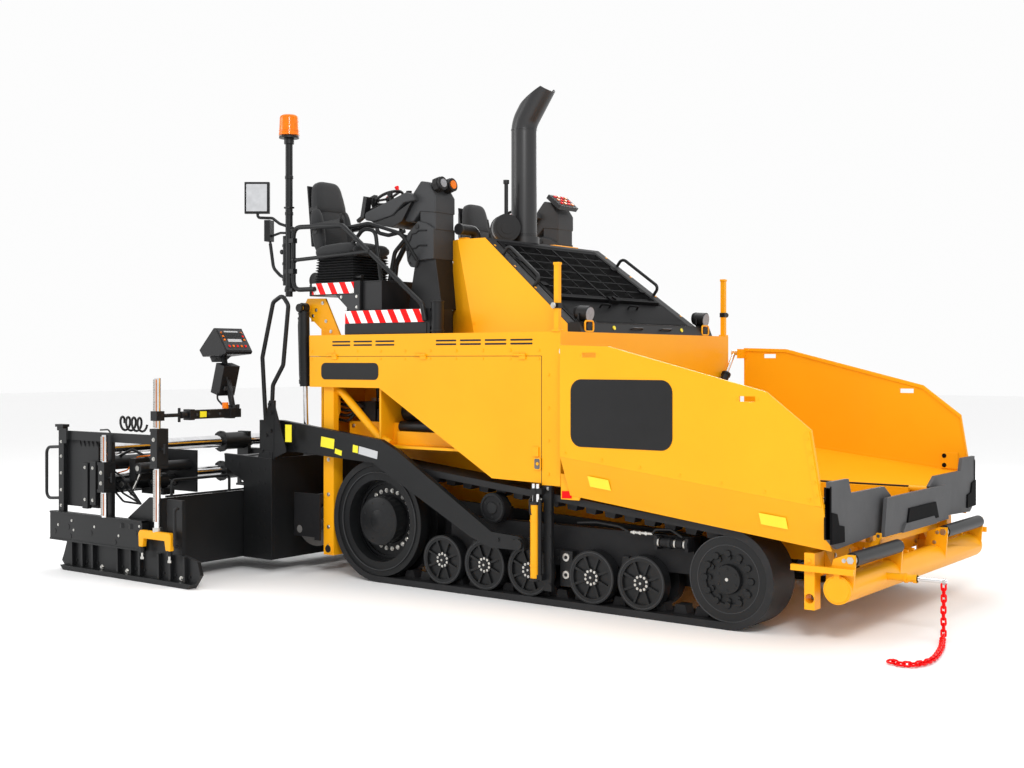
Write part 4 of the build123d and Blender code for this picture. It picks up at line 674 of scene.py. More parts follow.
def track_gear():
    """Tensioner gland, hoses and bolts on the track frames."""
    dark, bright, hose = sketches(3)
    axis_y = -1240
    for x in (2012, 2120, 2262):
        dark.lengthways(x, x + 22, axis_y, 552, 42, 24)
    for x in (2036, 2170, 2246):
        bright.lengthways(x, x + 12, axis_y, 552, 38, 20)
    bright.lengthways(1800, 1985, axis_y, 606, 13, 16)
    bright.side_bolts([(x, 606) for x in (1830, 1880, 1930)], -1252, -1, 9, 8)
    hose.tube([(1980, -1244, 606), (2010, -1250, 640), (2140, -1255, 650), (2230, -1250, 600)], 9, 40)
    hose.tube([(1780, -1240, 606), (1700, -1246, 640), (1500, -1246, 655), (1330, -1240, 640)], 9, 60)
    for x in (1290, 1300, 1310):
        dark.box(x, x + 6, -1262, -1190, 250, 330)
    dark.box(1180, 1290, -1255, -1190, 150, 420)
    for z in (240, 372):
        bright.across(1236, z, -1254, -1264, 34, 28, 30)
        dark.across(1236, z, -1263, -1268, 14, 20)
    for x in (280, 690, 1090, 1690):
        dark.side_plate([(x, 300), (x + 90, 300), (x + 70, 420), (x + 20, 420)], -1215, -1188)
        dark.bolt((x + 45, -1215, 350), TO_RIGHT, 14, 12)
    dark.mirror().make("track_frame_fittings", BLACK, bevel=2)
    bright.mirror().make("track_frame_bolts", BOLT)
    hose.mirror().make("track_frame_hoses", PLASTIC)


# ---------------------------------------------------------------- body sides and hood

def body_sides():
    """Vent slots, bolts and seams of the side panels."""
    face = -BODY_Y
    slots, bolts, seam = sketches(3)
    slot_pitch, slot_long, slot_half = 250, 212, 7
    for start, count in ((-1140, 3), (20, 4)):
        for x in range(start, start + count * slot_pitch, slot_pitch):
            for z in (2016, 1986):
                slots.side_plate(rounded_rect(x, x + slot_long, z - slot_half, z + slot_half, slot_half),
                                 face - 1.5, face + 4)
    for x in (-1390, -1120, -850, -580, -310, -40, 230, 500, 770, 1040):
        bolts.bolt((x, face - 0.5, 1936), TO_RIGHT, 9, 5)
        bolts.bolt((x, face - 0.5, 1870), TO_RIGHT, 7, 4)
    bolts.side_bolts([(1130, z) for z in (1000, 1250, 1500, 1750)], face - 0.5, -1, 9, 5)
    seam.box(DOOR_EDGE + 1, DOOR_EDGE + 5, face - 1, face + 3, 918, 1890)
    seam.box(BODY_REAR + 6, DOOR_EDGE, face - 1, face + 3, 1889.5, 1892.5)
    slots.mirror().make("side_vent_slots", PLASTIC)
    bolts.mirror().make("side_panel_bolts", YELLOW)
    seam.mirror().make("side_panel_seams", PLASTIC)
    for side, tag in PAIR:
        door_details(side, tag)


def door_details(side, tag):
    """Blank plate, lock and latch of a side door, and the door's returned lower edge."""
    body = f"side_door_{tag}"

    def y(out):
        return side * (BODY_Y + out)

    plate, latch, lock, edge = sketches(4)
    plate.side_plate(rounded_rect(-1272, -606, 1694, 1836, 46), y(4), y(-2))
    latch.side_plate(rounded_rect(1000, 1066, 1026, 1120, 14), y(13), y(4))
    lock.side_plate(rounded_rect(1008, 1058, 1034, 1112, 12), y(14), y(12.5))
    latch.across(1038, 1074, y(13), y(19), 13, 20)
    for outline in ([(-600, 1627), (590, 940), (594, 952), (-596, 1639)],
                    [(-1412, 1627), (-600, 1627), (-600, 1639), (-1412, 1639)]):
        edge.side_plate(outline, y(-24), y(-60))
    plate.make(f"door_plate_{tag}", PLASTIC, body, bevel=1)
    lock.make(f"door_lock_{tag}", WORN, body)
    latch.make(f"door_latch_{tag}", YELLOW, body, bevel=1)
    edge.make(f"door_return_{tag}", YELLOW, body)


def on_slope(x, y, z):
    """Point on the hood's sloped face: x down it, z out of it."""
    return (HOOD_TOP_X + x * math.cos(SLOPE) + z * math.sin(SLOPE), y,
            HOOD_TOP_Z - x * math.sin(SLOPE) + z * math.cos(SLOPE))


def slope_slab(sketch, outline, z0, z1, side=1):
    """Slab on the slope with (x, y) corners."""
    sketch.block(*([on_slope(x, side * y, z) for x, y in outline] for z in (z0, z1)))


def bar(x0, x1, y0, y1):
    """Corners of a rectangle on the slope."""
    return [(x0, y0), (x0, y1), (x1, y1), (x1, y0)]


def hood_details():
    """Grille louvres, black border of the slope, bolts and top fittings."""
    border, louvres, frame_bars, bolts, yellow, lower = sketches(6)

    def edge(x):
        """Half width of the sloped face."""
        return EDGE_HALF[0] + (EDGE_HALF[1] - EDGE_HALF[0]) * x / SLOPE_LEN

    def gap(x):
        """Half width of the grille's opening."""
        return GAP_HALF[0] + (GAP_HALF[1] - GAP_HALF[0]) * (x - 40) / (SLOPE_LEN - 170)

    end, low = SLOPE_LEN - 126, SLOPE_LEN - 8
    foot = SLOPE_LEN - 190
    for side in (-1, 1):
        slope_slab(border, [(2, edge(2)), (low, edge(low)), (low, gap(end)), (end, gap(end)),
                            (36, gap(36)), (2, gap(36))], 0.5, 4, side)
        for x in (120, 420, 720, 1020):
            bolts.bolt(on_slope(x, side * (edge(x) - 26), 4), SLOPE_OUT, 8, 5)
    slope_slab(border, bar(2, 38, -gap(36), gap(36)), 0.5, 4)
    slope_slab(border, bar(end, low, -gap(end), gap(end)), 0.5, 4)
    for index in range(LOUVRES):
        x = 66 + index * LOUVRE_PITCH
        for y0, y1 in ((-gap(x) + 60, -12), (12, gap(x) - 60)):
            louvres.block([on_slope(px, py, -12) for px, py in bar(x, x + 4, y0, y1)],
                          [on_slope(px, py, 5) for px, py in bar(x + 9, x + 13, y0, y1)])
    slope_slab(frame_bars, bar(46, end - 60, -14, 14), -10, 9)
    for x in (46, SLOPE_LEN - 205):
        slope_slab(frame_bars, bar(x, x + 16, -gap(x) + 40, gap(x) - 40), -10, 9)
    for side in (-1, 1):
        slope_slab(frame_bars, [(46, gap(46) - 58), (foot, gap(foot) - 58), (foot, gap(foot) - 40),
                                (46, gap(46) - 40)], -10, 9, side)
        for x in (300, 640):
            slope_slab(frame_bars, bar(x, x + 46, gap(x) - 120, gap(x) - 34), 6, 16, side)
        slope_slab(lower, [(880, 8), (880, gap(880) - 30), (end - 14, gap(end) - 30), (end - 14, 8)],
                   4, 9, side)
        slope_slab(lower, [(846, 8), (846, gap(846) - 120), (872, gap(846) - 100), (872, 8)], 2, 34, side)
        handle = ((150, 8), (150, 40), (290, 40), (290, 8))
        lower.tube([on_slope(960, side * y, z) for y, z in handle], 8, 18)
    slope_slab(lower, bar(838, 900, -70, 70), 2, 48)
    lower.rod(on_slope(870, 0, 40), on_slope(870, 0, 62), 24, 24)
    lower.make("hood_lower_panel", GRILLE, bevel=3)
    border.make("hood_border", BORDER, bevel=1)
    louvres.make("grille_louvres", GRILLE)
    frame_bars.make("grille_frames", GRILLE, bevel=1.5)
    for side in (-1, 1):
        for x, z in ((-200, 2160), (-200, 2790), (60, 2790), (160, 2160)):
            wide = HOOD_SIDE_LOW if x >= 150 else REAR_SIDE + (x - HOOD_REAR) * HOOD_FLARE
            bolts.bolt((x, side * (wide - (z - DECK_Z) * HOOD_LEAN), z), (0, side, 0.1), 9, 6)
    bolts.make("hood_bolts", YELLOW)
    yellow.box(-215, -120, -520, -440, 2873, 2905)
    yellow.box(-200, 120, 180, 560, 2873, 2889)
    yellow.box(-215, -140, -760, -700, 2873, 2900)
    yellow.make("hood_top_covers", YELLOW, bevel=4)


def band_details():
    """Lamps, small markers and hand holds on the band in front of the hood."""
    dark, lens, yellow, ring = sketches(4)
    z = DECK_Z + 145
    for y in (-930, 930):
        dark.rod((1136, y, z + 5), (1232, y, z - 5), 60, 28, 64)
        dark.rod((1110, y, z + 8), (1140, y, z + 5), 42, 24, 58)
        for step in range(4):
            dark.lengthways(1112 + step * 8, 1115 + step * 8, y, z + 8, 52 + step * 2, 24)
        lens.rod((1229, y, z - 5), (1236, y, z - 6), 55, 28)
        dark.tube([(1172, y + py, z + pz) for py, pz in
                   ((-68, 4), (-72, -60), (0, -72), (72, -60), (68, 4))], 7, 30)
        ring.tube([(1226, y + py, DECK_Z + pz) for py, pz in
                   ((-58, 36), (-58, 88), (58, 88), (58, 6), (-58, 6), (-58, 40))], 8, 26)
        dark.lengthways(1200, 1228, y, DECK_Z + 46, 34, 24)
    for y in (-560, 520):
        yellow.rod((1216, y, DECK_Z + 40), (1224, y, DECK_Z + 42), 17, 20)
    for y in (-220, 240):
        dark.tube([(x, y + py, DECK_Z + pz) for x, py, pz in
                   ((1206, -90, 30), (1236, -80, 44), (1236, 80, 44), (1206, 90, 30))], 7, 24)
    dark.side_plate([(1120, DECK_Z + 74), (1205, DECK_Z + 74), (1205, DECK_Z + 80), (1120, DECK_Z + 80)],
                    -1044, 1044)
    dark.make("lamp_bodies", PLASTIC, bevel=1)
    lens.make("lamp_lenses", LENS)
    yellow.make("band_markers", LABEL)
    ring.make("lamp_rings", YELLOW, bevel=2)


def exhaust_details():
    """Air cleaner lid, clamps, sensor pipe and duct clips."""
    steel, plastic = sketches(2)
    z = CLEANER[2]
    axis = (Vector((40, -420, z)) - Vector(CLEANER)).normalized()
    for along, radius, thick in ((-8, 122, 10), (20, 121, 8), (112, 121, 8), (134, 118, 14), (146, 92, 8),
                                 (152, 54, 8)):
        start = Vector(CLEANER) + axis * along
        plastic.rod(start, start + axis * thick, radius, 40)
    for low, thick, radius in ((2945, 8, 116), (2960, 8, 116), (3870, 10, 115)):
        steel.upright(*STACK_AT, low, low + thick, radius, 40)
    plastic.upright(12, -392, 3090, 3390, 17, 16)
    plastic.upright(12, -392, 3380, 3412, 26, 16)
    plastic.tube([CLEANER, (-150, -260, z), (-170, -220, 2920), (-170, -220, 2874)], 55, 60, 20)
    steel.upright(-190, -560, 2880, 2900, 49, 24)
    steel.across(-190, 2970, -775, -795, 49, 24)
    steel.make("exhaust_clamps", STACK, bevel=1)
    plastic.make("air_cleaner_lid", PLASTIC, bevel=2)


# ---------------------------------------------------------------- hopper and front end

def fold_z(x):
    """Height of a hopper wing's fold line."""
    return FOLD_REAR - (x - WING_REAR) * FOLD_DROP / FOLD_RUN


def wing_details(side, tag):
    """Blank side plate, edge flanges, labels, rivets, apron corner and bracket of a hopper wing."""
    body = f"wing_{tag}"

    def y(out):
        return side * (WING_Y + out)

    plate, flange, rivets, label, mat, corner, nuts, roll = sketches(8)
    plate.side_plate(rounded_rect(1432, 2285, 1228, 1720, 90, 8), y(4), y(-2))
    top = ((1336, 1966), (1752, 1954), (2991, 1645), (3307, 1404), (3390, 914))
    for (xa, za), (xb, zb) in zip(top, top[1:]):
        flange.side_plate([(xa, za), (xb, zb), (xb, zb - 26), (xa, za - 26)], y(-21) - side * 9, y(-21))
    flange.side_plate([(3262, 1372), (3300, 1398), (3384, 916), (3344, 922)], y(7), y(-2))
    rivets.side_bolts(((3286, 1350), (3303, 1260), (3320, 1165), (3336, 1070), (3350, 985)),
                      y(6.5), side, 9, 5)
    rivets.side_bolts([(x, fold_z(x) + 34) for x in range(1380, 3301, 320)], y(0) - side * 0.5, side, 9, 5)
    rivets.side_bolts([(x + end * 78, z) for x, z in ((1590, 1896), (2854, 1600)) for end in (-1, 1)],
                      y(0) - side * 0.5, side, 6, 3)
    for x0, x1, z0, z1 in ((1550, 1730, 935, 1015), (2915, 3110, 762, 842)):
        y_low, y_top = (side * (WING_Y - (fold_z((x0 + x1) / 2) - z) * FOLD_LEAN + 4) for z in (z0, z1))
        label.block(*([(x0, y_low - out, z0), (x1, y_low - out, z0 - 20), (x1, y_top - out, z1 - 20),
                       (x0, y_top - out, z1)] for out in (0, side * 3)))
    plate.make(f"wing_plate_{tag}", PLASTIC, body, bevel=1)
    flange.make(f"wing_flange_{tag}", YELLOW, body, bevel=1)
    rivets.make(f"wing_rivets_{tag}", YELLOW, body)
    label.make(f"wing_labels_{tag}", LABEL, body)
    for x1, outline in (
            (3440, ((1452, 672), (1452, 880), (1360, 862), (1330, 786), (1246, 772), (1240, 668))),
            (3432, ((1452, 1046), (1452, 880), (1438, 880), (1438, 1046)))):
        mat.cross_plate([(side * py, z) for py, z in outline], 3424, x1)
    mat.box(3384, 3432, side * 1448, side * 1455, 700, 1040)
    mat.make(f"apron_corner_{tag}", GRILLE, body, bevel=3)
    corner.box(3150, 3290, y(-30), y(-18), 960, 1092)
    nuts.side_bolts(((3176, 1066), (3176, 988)), y(-30), -side, 13, 6)
    corner.make(f"wing_bracket_{tag}", YELLOW, body, bevel=2)
    nuts.make(f"wing_bracket_nuts_{tag}", GRILLE, body)
    for inset, thick, form in ((2, 6, (38, 24, 34)), (-20, 10, (26, 6))):
        for end, out in ((ROLLER_OUT - inset, thick), (ROLLER_IN + inset, -thick)):
            roll.across(ROLLER_X, ROLLER_Z, side * end, side * (end + out), *form)
    roll.make(f"roller_caps_{tag}", BOLT, f"push_roller_{tag}", bevel=1)


def centre_apron_details():
    """Rubber mat along the centre apron's lower edge."""
    strip = Sketch()
    strip.cross_plate([(-250, 676), (-205, 800), (345, 800), (410, 676)], 3480, 3494)
    strip.make("centre_apron_mat", GRILLE, "centre_apron", bevel=3)


def front_details():
    """Caps, bolts, gussets and labels of the front beam, and fittings of the guide rod."""
    yellow, bolts, red = sketches(3)
    gusset = [(3272, 470), (3340, 470), (3272, 590)]
    for side in (-1, 1):
        yellow.side_plate([(1247, 1011), (1372, 1000), (1430, 866), (1410, 818), (1247, 818)],
                          side * 1345, side * 1330)
        yellow.bolt((1408, side * BEAM_OUT, 850), (0, side, 0), 10, 6)
        red.side_plate([(1258, 826), (1346, 830), (1346, 886), (1258, 880)],
                       side * (BEAM_OUT + 4), side * BEAM_OUT)
        yellow.across(3428, 365, side * BEAM_OUT, side * (BEAM_OUT + 8), 88, 40, 80)
        yellow.side_bolts(((3236, 470), (3236, 540)), side * BEAM_OUT, side, 14, 9)
        for y, out in ((1304, side), (466, -side)):
            bolts.side_bolts(((3462, 556), (3440, 480)), side * y + out * 10, out, 10, 7)
        yellow.side_plate(gusset, side * 1180, side * 1164)
        yellow.side_plate(gusset, side * 610, side * 594)
        for y in (1010, 760, 520):
            for z in (540, 470):
                bolts.bolt((3273, side * y, z), TO_FRONT, 12, 8)
        yellow.box(3272, 3284, side * 1240, side * 480, 440, 452)
    yellow.lengthways(3640, 3660, GUIDE_Y, GUIDE_Z, 34, 24)
    yellow.lengthways(3700, 3727, GUIDE_Y, GUIDE_Z, 32, 6)
    bolts.lengthways(3900, 3916, GUIDE_Y, GUIDE_Z, 21, 24)
    yellow.make("front_beam_fittings", YELLOW, bevel=2)
    bolts.make("front_beam_bolts", BOLT)
    red.make("front_marker_labels", RED)


def hopper_details():
    """Chain covers, conveyor rods and flashing round the conveyor."""
    steel, rubber = sketches(2)
    for side in (-1, 1):
        steel.frustum(*((1336, 3150, side * inner, side * 556, z) for inner, z in ((512, 646), (540, 690))))
        for index in range(14):
            steel.bolt((1400 + index * 130, side * 530, 668), (0, -side, 0.6), 8, 5)
        rubber.box(1336, 3180, side * 662, side * 612, 872, 884)
    for index in range(14):
        for side in (-1, 1):
            for y in (110, 470):
                steel.across(1300 + index * 127.5, 622, side * (y - 30), side * (y + 30), 16, 12)
    steel.make("conveyor_chain_covers", WORN, bevel=1)
    rubber.make("hopper_seals", RUBBER, bevel=2)


# ---------------------------------------------------------------- bay behind the tracks

def bay_details():
    """Pipes, valve blocks and braces seen under the side doors."""
    yellow, dark, hose, steel = sketches(4)
    yellow.tube([(-1185, -1236, 1600), (-1120, -1236, 1580), (-700, -1236, 1215), (-560, -1236, 1160)],
                34, 90, 20)
    yellow.box(-1150, -560, -1120, -700, 1150, 1330)
    yellow.box(-540, 150, -1180, -760, 1150, 1262)
    yellow.side_plate([(-1380, 1160), (-1290, 1160), (-1200, 1420), (-1200, 1620), (-1380, 1620)],
                      -1190, -1176)
    steel.side_bolts([(x, 1290) for x in (-1100, -900, -700)], -1120, -1, 13, 9)
    dark.box(-1100, -900, -1060, -800, 1330, 1500)
    dark.box(-860, -640, -1080, -820, 1330, 1440)
    dark.lengthways(-600, -300, -980, 1420, 84, 28)
    dark.lengthways(-560, -120, -1100, 1300, 46, 24)
    dark.box(-250, 120, -1100, -860, 1262, 1360)
    for index in range(5):
        z = 1540 - index * 46
        hose.tube([(-1380, -1150 + index * 9, z), (-1120, -1160, z - 30), (-1040, -1080, 1470),
                   (-1010, -1000, 1430)], 13, 70, 10)
    for x in range(-1010, -871, 46):
        hose.tube([(x, -900, 1490), (x, -920, 1640), (x + 220, -900, 1700), (x + 300, -880, 1900)],
                  14, 80, 10)
    for index in range(3):
        hose.tube([(-700 + index * 60, -930, 1430), (-650 + index * 60, -960, 1560),
                   (-300, -940 + index * 20, 1540), (-100, -900, 1350)], 12, 90, 10)
    hose.tube([(-1330, -1230, 1240), (-1290, -1250, 1500), (-1330, -1236, 1850)], 16, 90, 10)
    for x in (-1040, -960):
        steel.upright(x, -930, 1500, 1528, 22, 6)
    yellow.mirror().make("bay_braces", YELLOW, bevel=4)
    dark.mirror().make("bay_valves", BLACK, bevel=3)
    hose.mirror().make("bay_hoses", PLASTIC)
    steel.mirror().make("bay_fittings", BOLT)


def rear_wall():
    """Vents, steps, lamps and hoses on the wall behind the tractor."""
    dark, bolts, lens, hose = sketches(4)
    back = BODY_REAR - 2
    for y0, y1 in ((-1040, -560), (560, 1040)):
        dark.box(back - 12, back + 4, y0, y1, 1560, 1960)
        for z in range(1585, 1916, 30):
            dark.block(*([(x, y, pz) for y, pz in rectangle(y0 + 20, y1 - 20, low, low + 6)]
                         for x, low in ((back - 12, z), (back - 26, z - 10))))
    for z in (1300, 1600, 1900):
        step = ((2, -190), (-110, -190), (-110, 190), (2, 190))
        dark.tube([(back + out, y, z) for out, y in step], 15, 40)
    for y in (-1120, 1120):
        dark.box(back - 40, back + 4, y - 60, y + 60, 1890, 1990)
        lens.box(back - 47, back - 39, y - 50, y + 50, 1902, 1978)
    for y in (-420, -320, 320, 420):
        hose.tube([(back + 4, y, 1180), (back - 60, y, 1200), (back - 120, y, 1080),
                   (back - 130, y * 0.9, 840)], 15, 60, 10)
    for y in (-1150, -380, 380, 1150):
        for z in (1250, 1500, 1750, 2000):
            bolts.bolt((back + 1, y, z), TO_REAR, 10, 7)
    dark.make("rear_wall_vents", PLASTIC, bevel=1.5)
    lens.make("rear_lamps", RED, bevel=3)
    hose.make("rear_hoses", PLASTIC)
    bolts.make("rear_wall_bolts", YELLOW)


# ---------------------------------------------------------------- tow points and screed

def tow_details():
    """Cylinder barrels, rods and bolts of the tow points."""
    barrel, bolts, dark, chrome = sketches(4)
    for z0, z1, radius in ((196, 770, 36), (300, 312, 40), (640, 652, 40)):
        barrel.upright(TOW_X, TOW_Y, z0, z1, radius, 28)
    for z in (190, 768):
        dark.upright(TOW_X, TOW_Y, z, z + 22, 42, 28)
    dark.tube([(TOW_X, -1400, 690), (1010, -1412, 700), (1000, -1404, 800), (1040, -1350, 902)], 8, 30)
    dark.across(TOW_X, 862, -1400, -1352, 24, 24)
    for x in (1018, 1058):
        chrome.upright(x, TOW_Y, 780, 925, 15, 20)
    dark.upright(1082, -1384, 232, 806, 15, 20)
    dark.side_bolts([(1146, z) for z in range(170, 900, 180)], TOW_PLATE, -1, 9, 6)
    bolts.side_bolts(((1000, 890), (1060, 805), (1130, 890)), TOW_PLATE, -1, 10, 7)
    barrel.mirror().make("tow_cylinder_barrels", YELLOW, bevel=1)
    dark.mirror().make("tow_point_fittings", PLASTIC, bevel=1)
    chrome.mirror().make("tow_cylinder_rods", CHROME)
    bolts.mirror().make("tow_point_bolts", BOLT)


def arm_details():
    """Blank labels, bolts and pins of the tow arms."""
    labels, plate, bolts, pins = sketches(4)
    for corners in (((-1215, 1120), (-1060, 1102), (-1050, 1188), (-1205, 1206)),
                    ((-1046, 1068), (-968, 1050), (-962, 1092), (-1040, 1110)),
                    ((-838, 1088), (-780, 1080), (-774, 1140), (-832, 1150))):
        labels.side_plate(corners, -ARM_OUT - 3, -ARM_OUT + 1)
    plate.side_plate([(-770, 1076), (-560, 1040), (-552, 1104), (-762, 1140)], -ARM_OUT - 3, -ARM_OUT + 1)
    bolts.side_bolts(((-1650, 1280), (-1650, 1100), (-1540, 1270), (-1540, 1100), (850, 478), (700, 478)),
                     -ARM_OUT + 0.5, -1, 14, 9)
    labels.box(-1560, -1484, -SCREED_Y + 8, -SCREED_Y + 12, 1150, 1300)
    labels.mirror().make("tow_arm_labels", LABEL, "screed")
    plate.mirror().make("tow_arm_plates", WHITE, "screed")
    pins.across(900, 459, -ARM_OUT + 1, -ARM_OUT - 10, 27, 24)
    pins.bolt((900, -ARM_OUT - 10, 459), TO_RIGHT, 15, 6)
    pins.mirror().make("tow_arm_pins", BOLT, "screed", bevel=1)
    bolts.mirror().make("tow_arm_bolts", BLACK, "screed")


def screed_details():
    """Bolt holes, stiffeners, heater boxes, hoses and sleeves of the main screed."""
    dark, holes, bolts, hose = sketches(4)
    face = -SCREED_Y
    for x in (-1775, -1845):
        for z in range(180, 901, 120):
            holes.across(x - (40 if z % 240 else 0), z, face - 1, face - 2.5, 15, 18)
    for x, z in ((-2000, 880), (-1930, 700), (-1960, 500), (-1970, 300), (-2150, 930), (-2250, 960)):
        holes.across(x, z, face - 1, face - 2.5, 17, 18)
    dark.side_plate([(-1729, 112), (-1717, 112), (-1717, 998), (-1729, 998)], face - 4, face + 30)
    dark.side_plate([(-1727, 985), (-2338, 1005), (-2338, 1017), (-1727, 997)], face - 4, face + 26)
    bolts.side_bolts(((-1760, 1040), (-1760, 1470), (-1850, 1060), (-1800, 1200), (-1740, 1400),
                      (-1745, 1240)), face + 12, -1, 15, 10)
    dark.side_plate([(-1909, 1000), (-1722, 1000), (-1722, 1056), (-1880, 1056)], face + 6, face + 12)
    dark.side_plate([(-1715, 1000), (-1560, 1060), (-1560, 1090), (-1715, 1500)], face + 14, face + 26)
    for y in range(-1300, 1301, 260):
        dark.side_plate([(-1745, 150), (-1745, 940), (-1990, 940), (-2080, 780), (-2080, 150)],
                        y - 6, y + 6)
    for y in (-1180, -760, 760, 1180):
        dark.box(-2060, -1790, y - 130, y + 130, 1000, 1090)
        hose.tube([(-1800, y, 1080), (-1780, y, 1180), (-2000, y * 0.9, 1220), (-2240, y * 0.8, 1010)],
                  14, 70, 10)
    for y in (-300, 300):
        dark.box(-2070, -1790, y - 210, y + 210, 1000, 1150)
        for x in (-2020, -1930, -1840):
            for out in (-120, 120):
                bolts.bolt((x, y + out, 1150), UP, 12, 9)
    for y in range(-140, 141, 56):
        hose.tube([(-1900, y, 1140), (-1860, y, 1240), (-1760, y * 1.2, 1240), (-1740, y * 1.4, 1040)],
                  13, 60, 10)
    for side, x in TUBE_X.items():
        for z, radius in ((1060, 62), (770, 58)):
            bolts.bolt_ring(x, z, side * 801, radius + 31, 8, 8, height=7, out=side)
    for x in range(-3330, -2790, 60):
        dark.box(x, x + 8, -465, 465, 620, 627)
    dark.make("screed_stiffeners", BLACK, "screed", bevel=2)
    holes.mirror().make("screed_bolt_holes", PLASTIC, "screed")
    bolts.make("screed_bolts", BLACK, "screed")
    hose.make("screed_hoses", PLASTIC, "screed")


def lift_details(side, tag):
    """Glands, ports and hose of a screed lift cylinder."""
    foot, eye = Vector((-1575, side * 1255, 2318)), Vector((-1546, side * 1255, 1259))
    down = (eye - foot).normalized()
    barrel = Sketch()
    for along, radius, long in ((40, 52, 16), (300, 51, 10), (560, 51, 10), (648, 55, 20)):
        start = foot + down * along
        barrel.sleeve(start, start + down * long, radius, 46)
    high, low = foot + down * 90, foot + down * 640
    for port in (high, low):
        barrel.rod(port + Vector((-44, 0, 0)), port + Vector((-66, 0, 0)), 15, 16)
    barrel.tube([high + Vector((-60, 0, 0)), high + Vector((-66, 0, -60)), low + Vector((-66, 0, 60)),
                 low + Vector((-60, 0, 0))], 9, 30)
    barrel.make(f"lift_cylinder_fittings_{tag}", BLACK, "lift_barrels", bevel=1.5)


# ---------------------------------------------------------------- screed extensions

def gate_ribs(dark, bright, y, side):
    """Ribs, bolts and ledges of an end gate's foot."""
    for x in (-3250, -3100, -2950, -2600, -2420, -2300, -2050, -1900, -1720):
        dark.side_plate([(x - 14, 44), (x + 14, 44), (x + 9, 250), (x - 9, 250)], y(34), y(-2))
        dark.bolt((x + 40, y(0.5), 90), (0, side, 0), 11, 8)
    bright.side_bolts(((-2500, 60), (-2850, 62), (-1790, 66)), y(0), side, 14, 12)
    for x, z in ((-3490, 330), (-3290, 380), (-3260, 300), (-2960, 350), (-2620, 300), (-2340, 400)):
        dark.across(x, z, y(39), y(43), 24, 24)
        bright.bolt((x + 55, y(40), z + 60), (0, side, 0), 8, 6)
    for z0, z1 in ((492, 508), (253, 267)):
        dark.box(-3560, -2250, y(-20), y(46), z0, z1)


def height_jacks(dark, bright, marks, orange, y, side):
    """Clamps with their handles, and scales, of an end gate's height jacks."""
    for x, low, high in ((JACK_X, 960, 1290), (JACK_REAR, 720, 980)):
        middle = (low + high) / 2
        for z in (low, high - 26):
            dark.box(x - 48, x + 48, y(88), y(-10), z, z + 26)
        bright.side_bolts(((x, low + 80), (x, high - 90)), y(84), side, 12, 10)
        dark.lengthways(x + 42, x + 92, y(44), middle, 11, 16)
        dark.upright(x + 92, y(44), middle - 40, middle + 40, 9, 16)
    for x, low, high in ((JACK_X, 1300, 1700), (JACK_X, 520, 950),
                         (JACK_REAR, 990, 1200), (JACK_REAR, 520, 710)):
        marks.box(x - 22, x + 22, y(72.5), y(70), low, high)
        for step in range((high - low) // 20):
            z = low + 10 + step * 20
            long = 22 if step % 5 == 0 else 12
            dark.box(x - 20, x - 20 + long, y(73.5), y(72.5), z, z + 2.5)
        orange.box(x + 17, x + 22, y(74), y(72), low, high)


def gate_fittings(dark, bright, yellow, y, side):
    """Yellow crank, grab handle and latch plates of an end gate."""
    yellow.side_plate([(-2240, 300), (-2190, 300), (-2178, 372), (-1906, 372), (-1890, 292), (-1832, 292),
                       (-1826, 420), (-1850, 440), (-2226, 440), (-2246, 416)], y(84), y(40))
    for x in (-2215, -1861):
        dark.upright(x, y(62), 296, 250, 22, 20)
        bright.upright(x, y(62), 252, 214, 12, 16)
        bright.upright(x, y(62), 216, 196, 17, 6)
    bright.upright(JACK_X, y(44), 430, 470, 40, 24)
    dark.tube([(-1800, y(out), z) for out, z in ((22, 330), (60, 330), (60, 640), (22, 640))], 13, 30)
    dark.box(-3480, -3392, y(24), y(-30), 1230, GATE_TOP)
    dark.box(-3500, -3380, y(30), y(-36), GATE_TOP, GATE_TOP + 24)
    dark.box(-3398, -3330, y(30), y(24), 1120, 1250)
    bright.side_bolts([(-3437, z) for z in (560, 700, 850, 1000, 1130)], y(9), side, 10, 8)
    dark.box(-2960, -2880, y(48), y(0), 600, 980)
    dark.box(-3075, -3000, y(44), y(0), 560, 960)
    for z in (640, 920):
        for x, out in ((-2920, 48), (-3037, 44)):
            bright.bolt((x, y(out), z), (0, side, 0), 10, 8)
    for x in (-2520, -2400):
        dark.upright(x, y(16), 430, 470, 36, 24)


def gate_leads(leads, y):
    """Coiled leads and hoses behind an end gate."""
    leads.coil((-2640, y(-40), 1316), (-2330, y(-40), 1310), 58, 4, 10)
    leads.coil((-3240, y(-50), 1120), (-2820, y(-50), 1130), 34, 7, 8)
    leads.tube([(-2900, y(-16), 1250), (-2800, y(-30), 1256), (-2740, y(-30), 1180), (-2740, y(-30), 1000)],
               7, 40, 8)
    for index in range(4):
        z = 960 - index * 70
        leads.tube([(-3340, y(-60), z), (-3180, y(-120 - index * 30), z + 30),
                    (-2960, y(-160), z - 60 + index * 20), (-2700, y(-110), z - 120), (-2500, y(-140), 620)],
                   9, 90, 8)
    leads.tube([(-3300, y(-400), 1000), (-3100, y(-500), 930), (-2800, y(-450), 900),
                (-2500, y(-520), 760)], 11, 90, 8)


